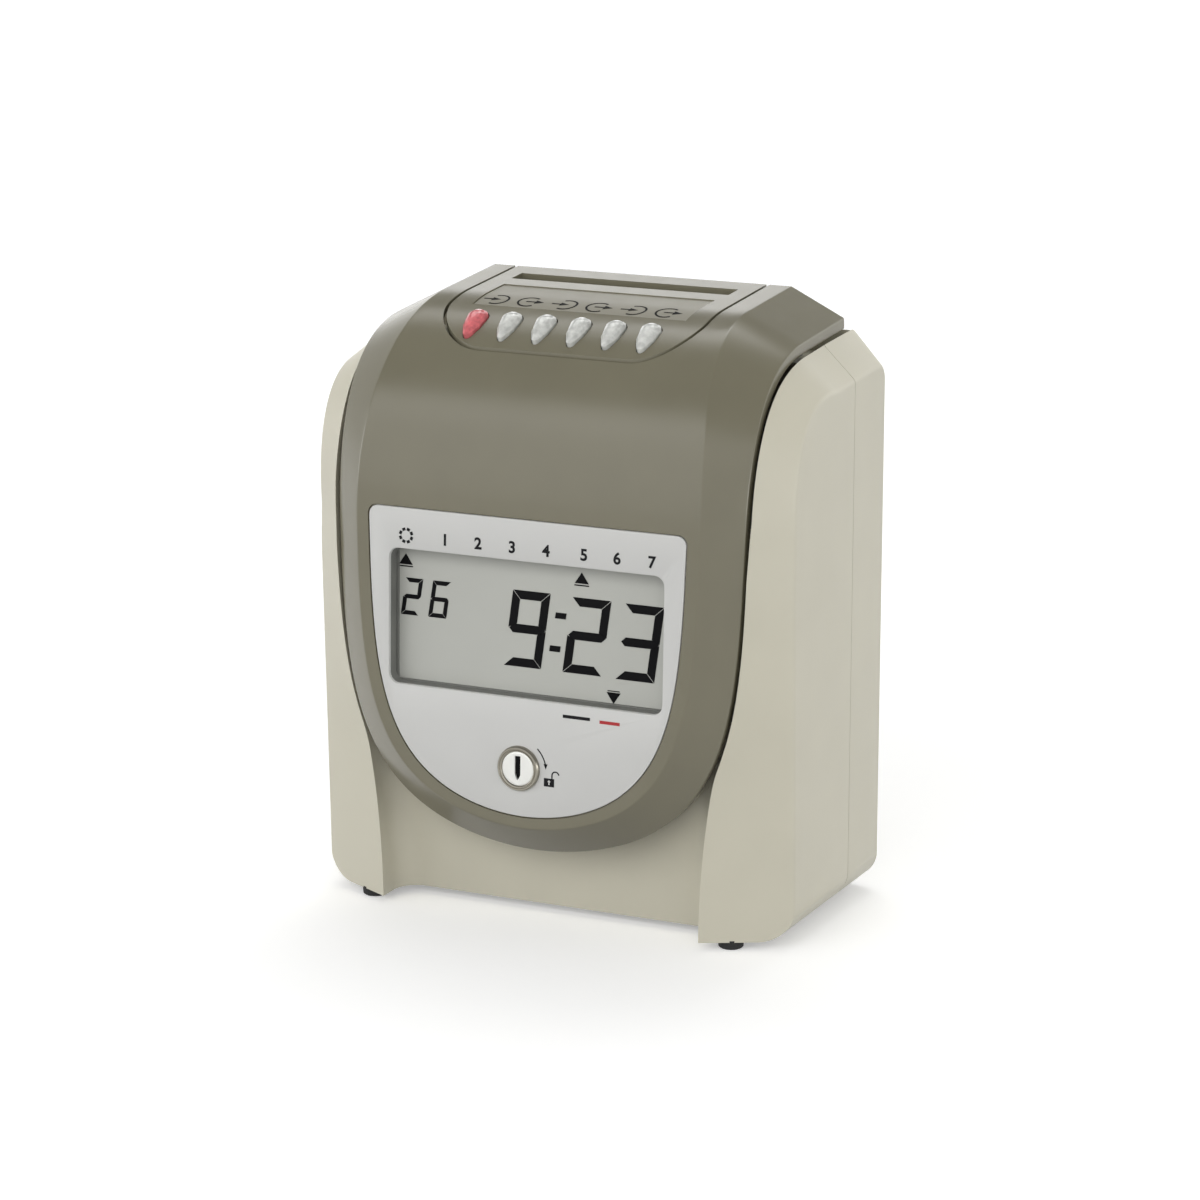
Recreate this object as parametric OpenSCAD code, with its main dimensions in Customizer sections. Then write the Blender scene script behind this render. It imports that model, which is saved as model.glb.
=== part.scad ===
// Desktop time recorder for punch cards.
// Lengths are millimetres. +X is the right-hand side seen from the front, +Y runs to the rear,
// +Z is up. Sizes in Y are measured back from the front face plane at the display height, and
// centred() moves them to the origin, which is under the middle of the whole clock.

/* [Casing] */
// Half the width over the side walls
side_x = 95.8; // [94:0.2:98]
// Rear wall, measured back from the front face plane
rear_y = 110.5; // [109:0.5:116]
// Depth of the rear casing
rear_deep = 33; // [31:0.5:36]
// Height of the crest above the table
top_z = 230; // [228:1:234]
// Wall of the beige casing
casing_t = 2.4; // [2:0.1:2.6]
// Width of the slanting facet round the sides
casing_bevel = 12.5; // [11:0.5:13]
// Radius of the lower side edges
base_r = 12; // [8:1:13]
// Free gap between the two casings
seam_gap = 0.3; // [0.2:0.1:0.6]

/* [Rubber feet] */
// Height that the feet lift the casing
foot_h = 3; // [2:0.5:4]
// Radius of a foot
foot_r = 4.8; // [4:0.1:5.5]
// Half the distance between left and right feet
foot_x = 73.4; // [70:0.2:76]
// Place of the front feet
foot_front_y = 20; // [19.5:0.5:24]
// Distance of the rear feet from the rear wall
foot_rear_in = 18.5; // [16:0.5:24]

/* [Front cover] */
// Half the width of the cover
cover_x = 82; // [81:0.2:82.6]
// Wall of the cover
cover_t = 2.4; // [2:0.1:2.6]
// Width of the bevel on the front
bevel_w = 13; // [11:0.5:15]
// Depth of the bevel
bevel_h = 10.5; // [9:0.5:12]
// Lowest point of the round bottom
u_bottom_z = 30.5; // [29:0.5:34]
// Height over which the round bottom widens into the sides
u_rise = 29.4; // [26:0.2:32]
// Gap between the cover and the casing
cover_gap = 1.4; // [1:0.1:1.8]

/* [Top panel] */
// Half the width of the top panel
panel_x = 51.6; // [50.8:0.2:52]
// Front edge of the top panel
panel_front_y = 23.6; // [21:0.2:24]
// Radius of its front corners, seen from above
panel_r = 22; // [16:1:24]
// Wall of the top panel
panel_t = 2.4; // [2:0.1:2.6]
// Seam between the top panel and the cover
panel_gap = 0.6; // [0.4:0.1:0.8]
// Half the width of the card slot
slot_x = 44.5; // [44:0.5:46]
// Distance of the card slot's middle from the rear wall
slot_in = 26; // [24.5:0.5:27]
// Width of the slot mouth from front to rear
slot_w = 9; // [8:0.5:9.5]
// Depth of the recess for the arrow label
label_recess = 0.6; // [0.4:0.1:1]

/* [Buttons] */
// Distance between neighbouring buttons
button_pitch = 13.9; // [13:0.1:14.8]
// Sideways place of the middle of the row
button_row_x = -1.6; // [-2:0.2:2]
// Radius of the round end
button_r = 4; // [3.4:0.1:4.2]
// Distance from the round end's centre to the tip
button_tip = 10; // [8:0.5:10.5]
// Height of a button above the panel
button_h = 2.9; // [2:0.1:3]
// How far a button travels
button_travel = 1.5; // [1:0.1:1.6]

/* [Faceplate and display] */
// Half the width of the faceplate at the top
plate_x = 63.8; // [62:0.2:65]
// Distance from the crest down to the faceplate
plate_drop = 74.2; // [73:0.2:80]
// Thickness of the faceplate
plate_t = 1.2; // [1:0.1:1.3]
// Half the width of the display window
window_x = 55; // [50:0.5:56]
// Lower edge of the display window
window_low_z = 90; // [88:0.5:94]
// Faceplate above the display window
window_margin = 15.2; // [14:0.2:18]
// Corner radius of the display window
window_r = 3.8; // [2:0.2:6]
// Depth of the window's side walls behind the face
window_deep = 5.5; // [5:0.5:6]

/* [Lock] */
// Sideways place of the lock
lock_x = -1.4; // [-5:0.2:5]
// Height of the lock
lock_z = 64; // [61:0.5:65]
// Radius of the lock's collar
lock_collar_r = 8.4; // [7.8:0.1:9]
// Height of the collar in front of the face
lock_collar_h = 1.6; // [1:0.1:2]
// Radius of the lock's body
lock_body_r = 7.2; // [6.6:0.1:7.4]
// Radius of the turning plug
lock_plug_r = 5.4; // [5:0.1:5.8]
// Length of the lock's body behind the face
lock_len = 16; // [15:0.5:17]

/* [Card path] */
// Gap between the two card guides
chute_gap = 5.4; // [5:0.1:6]
// Lowest point of the card chute
chute_low_z = 62; // [55:1:80]
// Distance from the crest down to the print line
print_drop = 58; // [56:1:60]
// Distance from the print line down to the feed rollers
feed_drop = 40; // [38:1:44]
// Radius of the feed rollers
feed_r = 8.0; // [7:0.1:8.4]
// Sideways place of the feed rollers
feed_roller_x = 22; // [16:1:24]
// Radius of the shafts
shaft_r = 2.0; // [1.5:0.1:2.2]
// Radial clearance of a running shaft
run_clear = 0.05; // [0.02:0.01:0.08]

/* [Print carriage] */
// Half the travel of the carriage
carriage_travel = 27; // [24:1:28]
// Radius of the carriage screw
screw_r = 3; // [2.5:0.1:3.2]

/* [Gears] */
// Tooth module of the gears
gear_m = 0.8; // [0.75:0.05:0.85]
// Width of the gears
gear_w = 4; // [3:0.5:5]

/* [Chassis] */
// Half the distance between the side plates, to their inner faces
plate_gap_x = 50; // [49.4:0.2:50.4]
// Sheet thickness of the chassis
sheet_t = 1.2; // [1:0.1:1.5]
// Distance from the crest down to the top of the side plates
plate_high_drop = 34; // [33:1:37]

/* [Hidden] */
$fn = 48;
big = 400;
taupe = [0.45, 0.43, 0.37];
beige = [0.75, 0.73, 0.66];
plate_grey = [0.78, 0.78, 0.77];
steel = [0.72, 0.73, 0.75];
dark = [0.13, 0.13, 0.14];
board_green = [0.12, 0.36, 0.24];
white = [0.92, 0.92, 0.9];

// The face leans back by this much per millimetre of height
face_lean = 0.03;
face_zero_z = 130;
lean_angle = atan(face_lean);
front_y = (lock_z - lock_collar_r - face_zero_z) * sin(lean_angle)
  - lock_collar_h * cos(lean_angle);
mid_y = (front_y + rear_y) / 2;
seam_y = rear_y - rear_deep;
slot_y = rear_y - slot_in;
foot_rear_y = rear_y - foot_rear_in;
plate_top_z = top_z - plate_drop;
window_high_z = plate_top_z - window_margin;
print_z = top_z - print_drop;
feed_z = print_z - feed_drop;
plate_high_z = top_z - plate_high_drop;
floor_z = foot_h;
inner_floor_z = floor_z + casing_t;
chassis_z = inner_floor_z + sheet_t;

// General helpers
module centred() {
  translate([0, -mid_y, 0])
    children();
}

module mirrored() {
  children();
  mirror([1, 0, 0])
    children();
}

// Solid through a list of rings with the same even number of points, closed at both ends by
// strips that join the first point to the last, the second to the last but one and so on
module loft(rings) {
  n = len(rings[0]);
  m = len(rings);
  last = (m - 1) * n;
  sides = [for (j = [0:m - 2], i = [0:n - 1])
    let (a = j * n + i, b = j * n + (i + 1) % n)
    each [[a, b, b + n], [a, b + n, a + n]]];
  strip = [for (i = [0:n / 2 - 2])
    each [[i, i + 1, n - 1 - i], [i + 1, n - 2 - i, n - 1 - i]]];
  low_end = [for (t = strip) [t[2], t[1], t[0]]];
  high_end = [for (t = strip) [t[0] + last, t[1] + last, t[2] + last]];
  polyhedron([for (r = rings) each r], concat(low_end, sides, high_end), convexity = 6);
}

// Bar whose outline in the Y-Z plane runs from x0 to x1
module yz_bar(points, x0, x1) {
  translate([x0, 0, 0])
    rotate([90, 0, 90])
      linear_extrude(x1 - x0, convexity = 6)
        polygon(points);
}

// Plate whose outline in the X-Z plane runs from y0 to y1
module xz_plate(y0, y1) {
  translate([0, y1, 0])
    rotate([90, 0, 0])
      linear_extrude(y1 - y0, convexity = 6)
        children();
}

module box(low, high) {
  translate(low)
    cube(high - low);
}

module rod_x(r, x0, x1, at) {
  translate([x0, at[0], at[1]])
    rotate([0, 90, 0])
      cylinder(r = r, h = x1 - x0);
}

module rod_y(r, y0, y1, at) {
  translate([at[0], y0, at[1]])
    rotate([-90, 0, 0])
      cylinder(r = r, h = y1 - y0);
}

function mix(a, b, u) = a + (b - a) * u;
function ease(u) = u <= 0 ? 0 : u >= 1 ? 1 : u * u * (3 - 2 * u);
function unit(v) = v / norm(v);
function arc(centre, r, a0, a1, steps) = [for (i = [0:steps])
  centre + r * [cos(mix(a0, a1, i / steps)), sin(mix(a0, a1, i / steps))]];
function round_rect(low, high, r, steps = 6) = concat(
  arc(high - [r, r], r, 0, 90, steps),
  arc([low[0] + r, high[1] - r], r, 90, 180, steps),
  arc(low + [r, r], r, 180, 270, steps),
  arc([high[0] - r, low[1] + r], r, 270, 360, steps));

// Face profile in the Y-Z plane: a leaning front line, a shoulder curve and a rising top line
crest_y = rear_y - 50.5;
crest_z = top_z - 3;
shoulder = [[face_lean * (top_z - 80 - face_zero_z), top_z - 80], [1.9, top_z - 38],
  [19, top_z - 6], [crest_y, crest_z]];
arm_end_y = rear_y - 10.9;
top_run = [arm_end_y - crest_y, top_z - crest_z];
function bezier(p, t) = pow(1 - t, 3) * p[0] + 3 * t * pow(1 - t, 2) * p[1]
  + 3 * t * t * (1 - t) * p[2] + pow(t, 3) * p[3];
function slope(p, t) = pow(1 - t, 2) * (p[1] - p[0]) + 2 * t * (1 - t) * (p[2] - p[1])
  + t * t * (p[3] - p[2]);
function inward(d) = [unit(d)[1], -unit(d)[0]];
function face_y(z) = face_lean * (z - face_zero_z);
function behind_face(depth, z) = depth / cos(lean_angle) + face_y(z);

// A place above the front, sunk by depth: u is 0 at the shoulder's foot, 1 at the crest and
// 2 at the rear end of the cover's arms
function over(u, depth) = u <= 1
  ? bezier(shoulder, u) + depth * inward(slope(shoulder, u))
  : shoulder[3] + (u - 1) * top_run + depth * inward(top_run);

// Half-width at height z of the round-bottomed outline that lies inset inside the cover's edge
u_power = 1.935;
function u_low(inset) = u_bottom_z + 0.85 * inset;
function u_span(inset) = u_rise - 0.211 * inset;
function u_x(z, inset) = (cover_x - inset)
  * pow(1 - exp(-max(z - u_low(inset), 0) / u_span(inset)), 1 / u_power);
function u_place(a, inset) = [(cover_x - inset) * sin(a),
  u_low(inset) - u_span(inset) * ln(1 - pow(sin(a), u_power))];

// Angle on the round bottom that belongs to the foot of the shoulder
u_side = asin(pow(1 - exp(-(shoulder[0][1] - u_bottom_z) / u_rise), 1 / u_power));

// Cover: rings across X, from the rear end of the arms to the middle of the round bottom
bevel_top_w = bevel_w + 7.8;
lip = 4;
wall_clear = 1.5;
function lip_at(a, z) =
  mix(wall_y(z) - wall_clear - face_y(z) - bevel_h, lip, ease((a - 25) / 32));
function ring_at(x, y, z, lips) = concat(
  [for (i = [0:2]) [-x[i], y[i], z[i]]], [for (i = [2:-1:0]) [x[i], y[i], z[i]]]);
function cover_ring_over(u, inset, extra) =
  let (w = mix(bevel_w, bevel_top_w, ease(u)), d = [bevel_h + lip + extra,
    bevel_h + 0.42 * inset, inset], p = [for (k = d) over(u, k)],
    z = over(u, 0)[1], e = inset * 0.42)
  ring_at([u_x(z, inset), u_x(z, inset), u_x(z, w + e)], [for (k = p) k[0]],
    [for (k = p) k[1]]);
function cover_ring_low(a, inset, extra) =
  let (q = u_place(a, inset), f = u_place(a, bevel_w + 0.42 * inset), deep = lip_at(a, q[1]))
  ring_at([q[0], q[0], f[0]], [face_y(q[1]) + bevel_h + deep + extra,
    face_y(q[1]) + bevel_h + 0.42 * inset, face_y(f[1]) + inset], [q[1], q[1], f[1]]);

module cover_solid(inset, extra, rear_u) {
  loft(concat(
    [for (u = [rear_u, 1.4]) cover_ring_over(u, inset, extra)],
    [for (i = [12:-1:0]) cover_ring_over(i / 12, inset, extra)],
    [for (i = [1:20]) cover_ring_low(u_side * (1 - pow(i / 20.3, 0.8)), inset, extra)]));
}

// Casing: the same profile, sunk, joined to a flatter outline in the planes of the side walls
pillar_y = 10;
top_sink = bevel_h + lip + 0.2;
pillar_low_x = 64.6;
function smooth_max(a, b, k) = (a + b + sqrt((a - b) * (a - b) + k * k)) / 2;
function pillar_x(z) = smooth_max(z > u_low(0) ? u_x(z, -cover_gap) : 0,
  pillar_low_x + 0.0013 * pow(min(z, 72), 2), 1.5);
rear_round = 6;
shoulder_lift = 0.35;
function casing_loop(depth, side) =
  let (bevel = side ? casing_bevel : 0, sink = depth + bevel,
    rear = rear_y - depth - (side ? 2.5 : 0), front = pillar_y + depth,
    up = over(1.9, top_sink + sink)[1])
  concat(
    [for (z = [floor_z + depth, 20, 45, 70, 95, 120])
      [front + (side ? casing_bevel + face_lean * (face_zero_z - z) : 0), z]],
    [for (i = [0:12]) over(i / 12, mix(pillar_y, top_sink, ease(i / 12)) + sink
      - bevel * shoulder_lift * sin(15 * i))],
    [over(1.5, top_sink + sink)],
    arc([rear - rear_round, up - rear_round], rear_round, 90, 0, 4),
    [[rear, floor_z + depth]]);
function casing_ring(depth, side, sign) = [for (p = casing_loop(depth, side))
  [sign * (side ? side_x - depth : pillar_x(p[1]) - 0.3), p[0], p[1]]];

module base_rounding(depth) {
  xz_plate(-big, big)
    polygon(concat(
      arc([side_x - base_r, floor_z + base_r], base_r - depth, 0, -90, 8),
      arc([-side_x + base_r, floor_z + base_r], base_r - depth, -90, -180, 8),
      [[-side_x + depth, big], [side_x - depth, big]]));
}

module casing_solid(depth) {
  intersection() {
    loft([casing_ring(depth, true, -1), casing_ring(depth, false, -1),
      casing_ring(depth, false, 1), casing_ring(depth, true, 1)]);
    base_rounding(depth);
  }
}

// Prism in Y with the outline between the pillars, grown outward by grow
pillar_steps = [for (i = [0:15]) mix(floor_z, top_z - 89, i / 15)];
module pillar_prism(grow, y0, y1) {
  low = -big / 4;
  xz_plate(y0, y1)
    polygon(concat(
      [[pillar_x(floor_z) + grow, low]],
      [for (z = pillar_steps) [pillar_x(z) + grow, z]],
      [[cover_x + cover_gap + grow, top_z - 70], [cover_x + cover_gap + grow, big],
       [-cover_x - cover_gap - grow, big], [-cover_x - cover_gap - grow, top_z - 70]],
      [for (i = [len(pillar_steps) - 1:-1:0])
        [-pillar_x(pillar_steps[i]) - grow, pillar_steps[i]]],
      [[-pillar_x(floor_z) - grow, low]]));
}

// Lower front wall between the pillars, with soft hollows where it meets them
wall_foot_y = 28;
wall_top_y = 20;
wall_top_z = 58;
wall_fillet = 9;
cheek_top_z = 84;
cheek_x = 54;
function wall_y(z) = mix(wall_foot_y, wall_top_y,
  min((z - floor_z) / (wall_top_z - floor_z), 1));
function wall_place(v, z) =
  let (x = pillar_x(z), d = max(wall_fillet - (x - abs(v) * x), 0) / wall_fillet)
  [v * x, wall_y(z) - wall_fillet * (1 - sqrt(1 - d * d)), z];
module lower_wall() {
  steps = concat([-1], [for (i = [-6:6]) i < 0 ? -1 + (i + 7) * 0.023
    : i == 0 ? 0 : 1 - (7 - i) * 0.023], [1]);
  rows = concat([for (k = [2:-1:1]) mix(wall_top_z, cheek_top_z, k / 2)],
    [for (k = [4:-1:0]) mix(floor_z, wall_top_z, k / 4)]);
  difference() {
    loft([for (z = rows) concat(
      [for (v = steps) wall_place(v, z)],
      [for (i = [len(steps) - 1:-1:0]) wall_place(steps[i], z) + [0, casing_t, 0]])]);
    box([-cheek_x, 0, wall_top_z], [cheek_x, wall_foot_y, cheek_top_z + 1]);
  }
}

// Places of the casing screws, as X and Z
screw_x = 82;
screw_places = [[screw_x, 32], [screw_x, 176]];
fixing_r = 1.6;
screw_head_r = 3.2;
boss_r = 4;

module bosses(y0, y1, pilot) {
  for (p = screw_places)
    mirrored()
      difference() {
        union() {
          rod_y(boss_r, y0, y1, p);
          box([p[0], y0, p[1] - 1], [side_x - casing_t + 0.5, y1, p[1] + 1]);
        }
        rod_y(pilot, y0 - 1, y1 + 1, p);
      }
}

module seam_side(front) {
  intersection() {
    children();
    box([-big, front ? -big : seam_y + seam_gap, -big], [big, front ? seam_y : big, big]);
  }
}

module casing_skin() {
  difference() {
    casing_solid(0);
    casing_solid(casing_t);
    pillar_prism(0, -big, rear_y - casing_t);
  }
  intersection() {
    difference() {
      casing_solid(0);
      casing_solid(9);
    }
    difference() {
      pillar_prism(casing_t, -big, rear_y - casing_t);
      pillar_prism(0, -big - 1, rear_y);
      box([-big, wall_foot_y, -big], [big, big, wall_top_z]);
    }
  }
}

// Floor of the casing between the side walls
module floor_slab() {
  intersection() {
    casing_solid(0);
    box([-pillar_low_x - casing_t, wall_foot_y, floor_z],
      [pillar_low_x + casing_t, rear_y - casing_t, inner_floor_z]);
  }
}

module front_casing() {
  color(beige)
    centred()
      difference() {
        union() {
          seam_side(true) {
            union() {
              casing_skin();
              floor_slab();
            }
          }
          lower_wall();
          bosses(seam_y - 16, seam_y, fixing_r);
        }
        foot_seats();
      }
}

// Rear wall features: bracket holes and the inlet's cut-out
bracket_x = 45;
bracket_z = [70, 170];
bracket_r = 2.1;
inlet_x = -30;
inlet_z = 26;
inlet_w = 24;
inlet_h = 15;

module rear_casing() {
  color(beige)
    centred()
      difference() {
        union() {
          seam_side(false) {
            union() {
              casing_skin();
              floor_slab();
            }
          }
          bosses(seam_y + seam_gap, rear_y - casing_t + 0.2, fixing_r + 0.3);
          mirrored()
            box([plate_gap_x + sheet_t + 0.4, seam_y + seam_gap + 4, ledge_z - casing_t],
              [cover_x + cover_gap + casing_t, rear_y - casing_t + 0.2, ledge_z]);
        }
        foot_seats();
        for (p = screw_places)
          mirrored() {
            rod_y(screw_head_r + 0.3, rear_y - 1.4, rear_y + 1, p);
            rod_y(fixing_r + 0.3, seam_y, rear_y, p);
          }
        for (z = bracket_z)
          mirrored()
            rod_y(bracket_r, rear_y - casing_t - 1, rear_y + 1, [bracket_x, z]);
        translate([inlet_x, rear_y - casing_t - 1, inlet_z])
          box([-inlet_w / 2 - 0.2, 0, -inlet_h / 2 - 0.2],
            [inlet_w / 2 + 0.2, casing_t + 2, inlet_h / 2 + 0.2]);
      }
}

foot_places = [[foot_x, foot_front_y], [foot_x, foot_rear_y]];
foot_sink = 0.6;
module foot_seats() {
  for (p = foot_places)
    mirrored()
      translate([p[0], p[1], floor_z - 1])
        cylinder(r = foot_r + 0.1, h = foot_sink + 1);
}

module rubber_feet() {
  color(dark)
    centred()
      for (p = foot_places)
        mirrored()
          translate([p[0], p[1], 0])
            rotate_extrude()
              polygon([[0, 0], [foot_r - 0.8, 0], [foot_r - 0.2, 0.5], [foot_r, floor_z],
                [foot_r, floor_z + foot_sink], [0, floor_z + foot_sink]]);
}

module casing_screws() {
  color(steel)
    centred()
      for (p = screw_places)
        mirrored()
          difference() {
            union() {
              rod_y(screw_head_r, rear_y - 1.4, rear_y - 0.3, p);
              rod_y(fixing_r - 0.02, seam_y - 10, rear_y - 1.4, p);
            }
            translate([p[0] - 2.2, rear_y - 0.9, p[1] - 0.35])
              cube([4.4, 2, 0.7]);
            translate([p[0] - 0.35, rear_y - 0.9, p[1] - 2.2])
              cube([0.7, 2, 4.4]);
          }
}

module base_plate() {
  color(steel)
    centred()
      translate([0, 0, inner_floor_z])
        linear_extrude(sheet_t)
          polygon(round_rect([-62, wall_foot_y + casing_t + 3], [62, rear_y - 8], 4));
}

// Top panel with the card slot
panel_end_y = arm_end_y;
function panel_outline(grow) = concat(
  [[panel_x + grow, panel_end_y + grow * 20], [-panel_x - grow, panel_end_y + grow * 20]],
  arc([-panel_x + panel_r, panel_front_y + panel_r], panel_r + grow, 180, 270, 10),
  arc([panel_x - panel_r, panel_front_y + panel_r], panel_r + grow, 270, 360, 10));
profile_us = [for (i = [4:12]) i / 12];
function band(top, under) = concat(
  [for (u = profile_us) over(u, top)], [over(2, top)],
  [over(2, under)], [for (i = [len(profile_us) - 1:-1:0]) over(profile_us[i], under)]);

module panel_plan(grow, z0, z1) {
  translate([0, 0, z0])
    linear_extrude(z1 - z0)
      polygon(panel_outline(grow));
}

// Frame of the buttons: origin on the surface, +Z out of it, -Y down the slope
button_u = 0.76;
button_tilt = atan2(slope(shoulder, button_u)[1], slope(shoulder, button_u)[0]);
module on_slope() {
  p = over(button_u, 0);
  translate([0, p[0], p[1]])
    rotate([button_tilt, 0, 0])
      children();
}
button_mid_r = 0.83 * button_r;
tip_r = 1.4;
round_end_y = 2;
button_count = 6;
function teardrop(grow) =
  let (half = button_tip / 2, b = asin((button_r - button_mid_r) / half),
    c = asin((button_mid_r - tip_r) / half))
  concat(arc([0, round_end_y], button_r + grow, -b, 180 + b, 12),
    arc([0, round_end_y - half], button_mid_r + grow, 180 + b, 180 + c, 3),
    arc([0, round_end_y - button_tip], tip_r + grow, 180 + c, 360 - c, 5),
    arc([0, round_end_y - half], button_mid_r + grow, 360 - c, 360 - b, 3));
function button_x(i) = button_row_x + (i - (button_count - 1) / 2) * button_pitch;
board_low = -13.6;
board_high = -12;
post_x = 45.5;
label_low_y = slot_y - 39.5;
label_high_y = slot_y - 13.5;
label_x = 43;
label_gap = 0.3;

module top_panel() {
  color(taupe)
    centred()
      difference() {
        union() {
          intersection() {
            yz_bar(band(0, panel_t), -panel_x, panel_x);
            panel_plan(0, top_z - 80, big);
          }
          mirrored()
            intersection() {
              yz_bar(concat([for (u = [0.88, 0.94, 1]) over(u, 1)], [over(2, 1)],
                [[panel_end_y, plate_high_z], [over(0.88, 1)[0], plate_high_z]]),
                panel_x - panel_t, panel_x);
              panel_plan(0, top_z - 80, big);
            }
          box([-panel_x, panel_end_y - panel_t, ledge_z],
            [panel_x, panel_end_y, over(2, 1)[1]]);
          on_slope()
            mirrored()
              translate([post_x, 0, board_high])
                cylinder(r = 2.2, h = -board_high - 1);
        }
        box([-slot_x, slot_y - slot_w / 2, plate_high_z], [slot_x, slot_y + slot_w / 2, big]);
        on_slope()
          for (i = [0:button_count - 1])
            translate([button_x(i), 0, -6])
              linear_extrude(12)
                polygon(teardrop(0.35));
        intersection() {
          yz_bar(band(-1, label_recess), -label_x, label_x);
          box([-label_x, label_low_y, plate_high_z], [label_x, label_high_y, big]);
        }
      }
}

module arrow_label() {
  color(taupe)
    centred()
      intersection() {
        yz_bar(band(label_recess - 0.25, label_recess), -label_x, label_x);
        box([label_gap - label_x, label_low_y + label_gap, plate_high_z],
          [label_x - label_gap, label_high_y - label_gap, big]);
      }
}

module button(i) {
  color(i == 0 ? [0.86, 0.42, 0.42] : white)
    centred()
      on_slope()
        translate([button_x(i), round_end_y, 0]) {
          hull() {
            translate([0, 0, -3])
              cylinder(r = button_r, h = 4, $fn = 32);
            translate([0, -0.6, 1])
              cylinder(r = button_r * 0.62, h = button_h - 1, $fn = 32);
            translate([0, -button_tip / 2, -3])
              cylinder(r = button_mid_r, h = 3.9, $fn = 32);
            translate([0, -button_tip, -3])
              cylinder(r = tip_r, h = 3.4, $fn = 32);
          }
          translate([0, -3, -9])
            cylinder(r = 1.6, h = 7);
        }
}
module button_1() { button(0); }
module button_2() { button(1); }
module button_3() { button(2); }
module button_4() { button(3); }
module button_5() { button(4); }
module button_6() { button(5); }

module button_board() {
  color(board_green)
    centred()
      on_slope()
        box([-48, -7, board_low], [48, 7, board_high]);
}

module button_switches() {
  color(dark)
    centred()
      on_slope()
        for (i = [0:button_count - 1])
          translate([button_x(i), round_end_y - 3, board_high]) {
            translate([-3, -3, 0])
              cube([6, 6, 1]);
            cylinder(r = 1.4, h = -board_high - 9 - button_travel - 0.1);
          }
}

// Front frame of the display area: local Y runs into the face, local Z up along it
module on_face() {
  translate([0, 0, face_zero_z])
    rotate([-lean_angle, 0, 0])
      translate([0, 0, -face_zero_z])
        children();
}

plate_inset = cover_x - plate_x;
plate_corner = 3.6;
plate_side = asin(pow(1 - exp(-(plate_top_z - 22 - u_low(plate_inset)) / u_span(plate_inset)),
  1 / u_power));
function plate_outline(grow) =
  let (low = [for (i = [0:22]) u_place(plate_side * i / 22, plate_inset)],
    edge = u_x(plate_top_z, plate_inset) + grow)
  concat(
    [for (p = low) p + grow * unit([p[0], -max(40 - (p[1] - u_low(plate_inset)), 0)])],
    arc([edge - plate_corner, plate_top_z + grow - plate_corner], plate_corner, 0, 90, 5),
    arc([-edge + plate_corner, plate_top_z + grow - plate_corner], plate_corner, 90, 180, 5),
    [for (i = [22:-1:1]) let (p = low[i], q = p + grow
      * unit([p[0], -max(40 - (p[1] - u_low(plate_inset)), 0)])) [-q[0], q[1]]]);
function window_outline(grow) = round_rect([-window_x - grow, window_low_z - grow],
  [window_x + grow, window_high_z + grow], window_r + grow);
tube_t = 1;

module faceplate() {
  color(plate_grey)
    centred()
      on_face()
        difference() {
          union() {
            xz_plate(0, plate_t)
              polygon(plate_outline(0));
            xz_plate(0.2, window_deep)
              polygon(window_outline(tube_t));
          }
          xz_plate(-1, window_deep + 1)
            polygon(window_outline(0));
          rod_y(lock_body_r + 0.1, -1, 5, [lock_x, lock_z]);
        }
}

module cover_shell() {
  color(taupe)
    centred() {
      difference() {
        cover_solid(0, 0, 2);
        cover_solid(cover_t, 6, 2 - cover_t / top_run[0]);
        panel_plan(panel_gap, top_z - 45, big);
        mirrored()
          box([panel_x, hinge_y, plate_high_z],
            [hinge_x[5] + 1.5, rear_y, hinge_z + bracket_round + 1.5]);
        on_face() {
          xz_plate(-3, plate_t)
            polygon(plate_outline(0.15));
          xz_plate(-3, 8)
            polygon(window_outline(tube_t + 0.3));
          rod_y(lock_body_r + 0.1, -1, 8, [lock_x, lock_z]);
        }
      }
      hinge_lugs();
    }
}

// Hinge of the cover at the rear ends of its arms
hinge_y = arm_end_y - 9.6;
hinge_z = top_z - 11;
hinge_r = 2;
ledge_z = hinge_z - 14;
bracket_round = 4;
hinge_x = [54, 56.6, 57, 64, 64.4, 67];

module hinge_lugs() {
  mirrored()
    difference() {
      union() {
        rod_x(bracket_round, hinge_x[2], hinge_x[3], [hinge_y, hinge_z]);
        box([hinge_x[2], hinge_y - bracket_round, hinge_z],
          [hinge_x[3], hinge_y + bracket_round, over(1.7, 0.75 * cover_t)[1]]);
      }
      rod_x(hinge_r + run_clear, hinge_x[2] - 1, hinge_x[3] + 1, [hinge_y, hinge_z]);
    }
}

module hinge_brackets() {
  color(steel)
    centred()
      mirrored()
        difference() {
          union() {
            for (k = [0, 4]) {
              rod_x(bracket_round, hinge_x[k], hinge_x[k + 1], [hinge_y, hinge_z]);
              box([hinge_x[k], hinge_y - bracket_round, ledge_z],
                [hinge_x[k + 1], hinge_y + bracket_round, hinge_z]);
            }
            box([hinge_x[0], hinge_y - bracket_round, ledge_z],
              [hinge_x[5], hinge_y + bracket_round + 3, ledge_z + 2]);
          }
          rod_x(hinge_r, hinge_x[0] - 1, hinge_x[5] + 1, [hinge_y, hinge_z]);
        }
}

module hinge_pins() {
  color(steel)
    centred()
      mirrored()
        rod_x(hinge_r, hinge_x[0] - 0.5, hinge_x[5] + 0.5, [hinge_y, hinge_z]);
}

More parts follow.
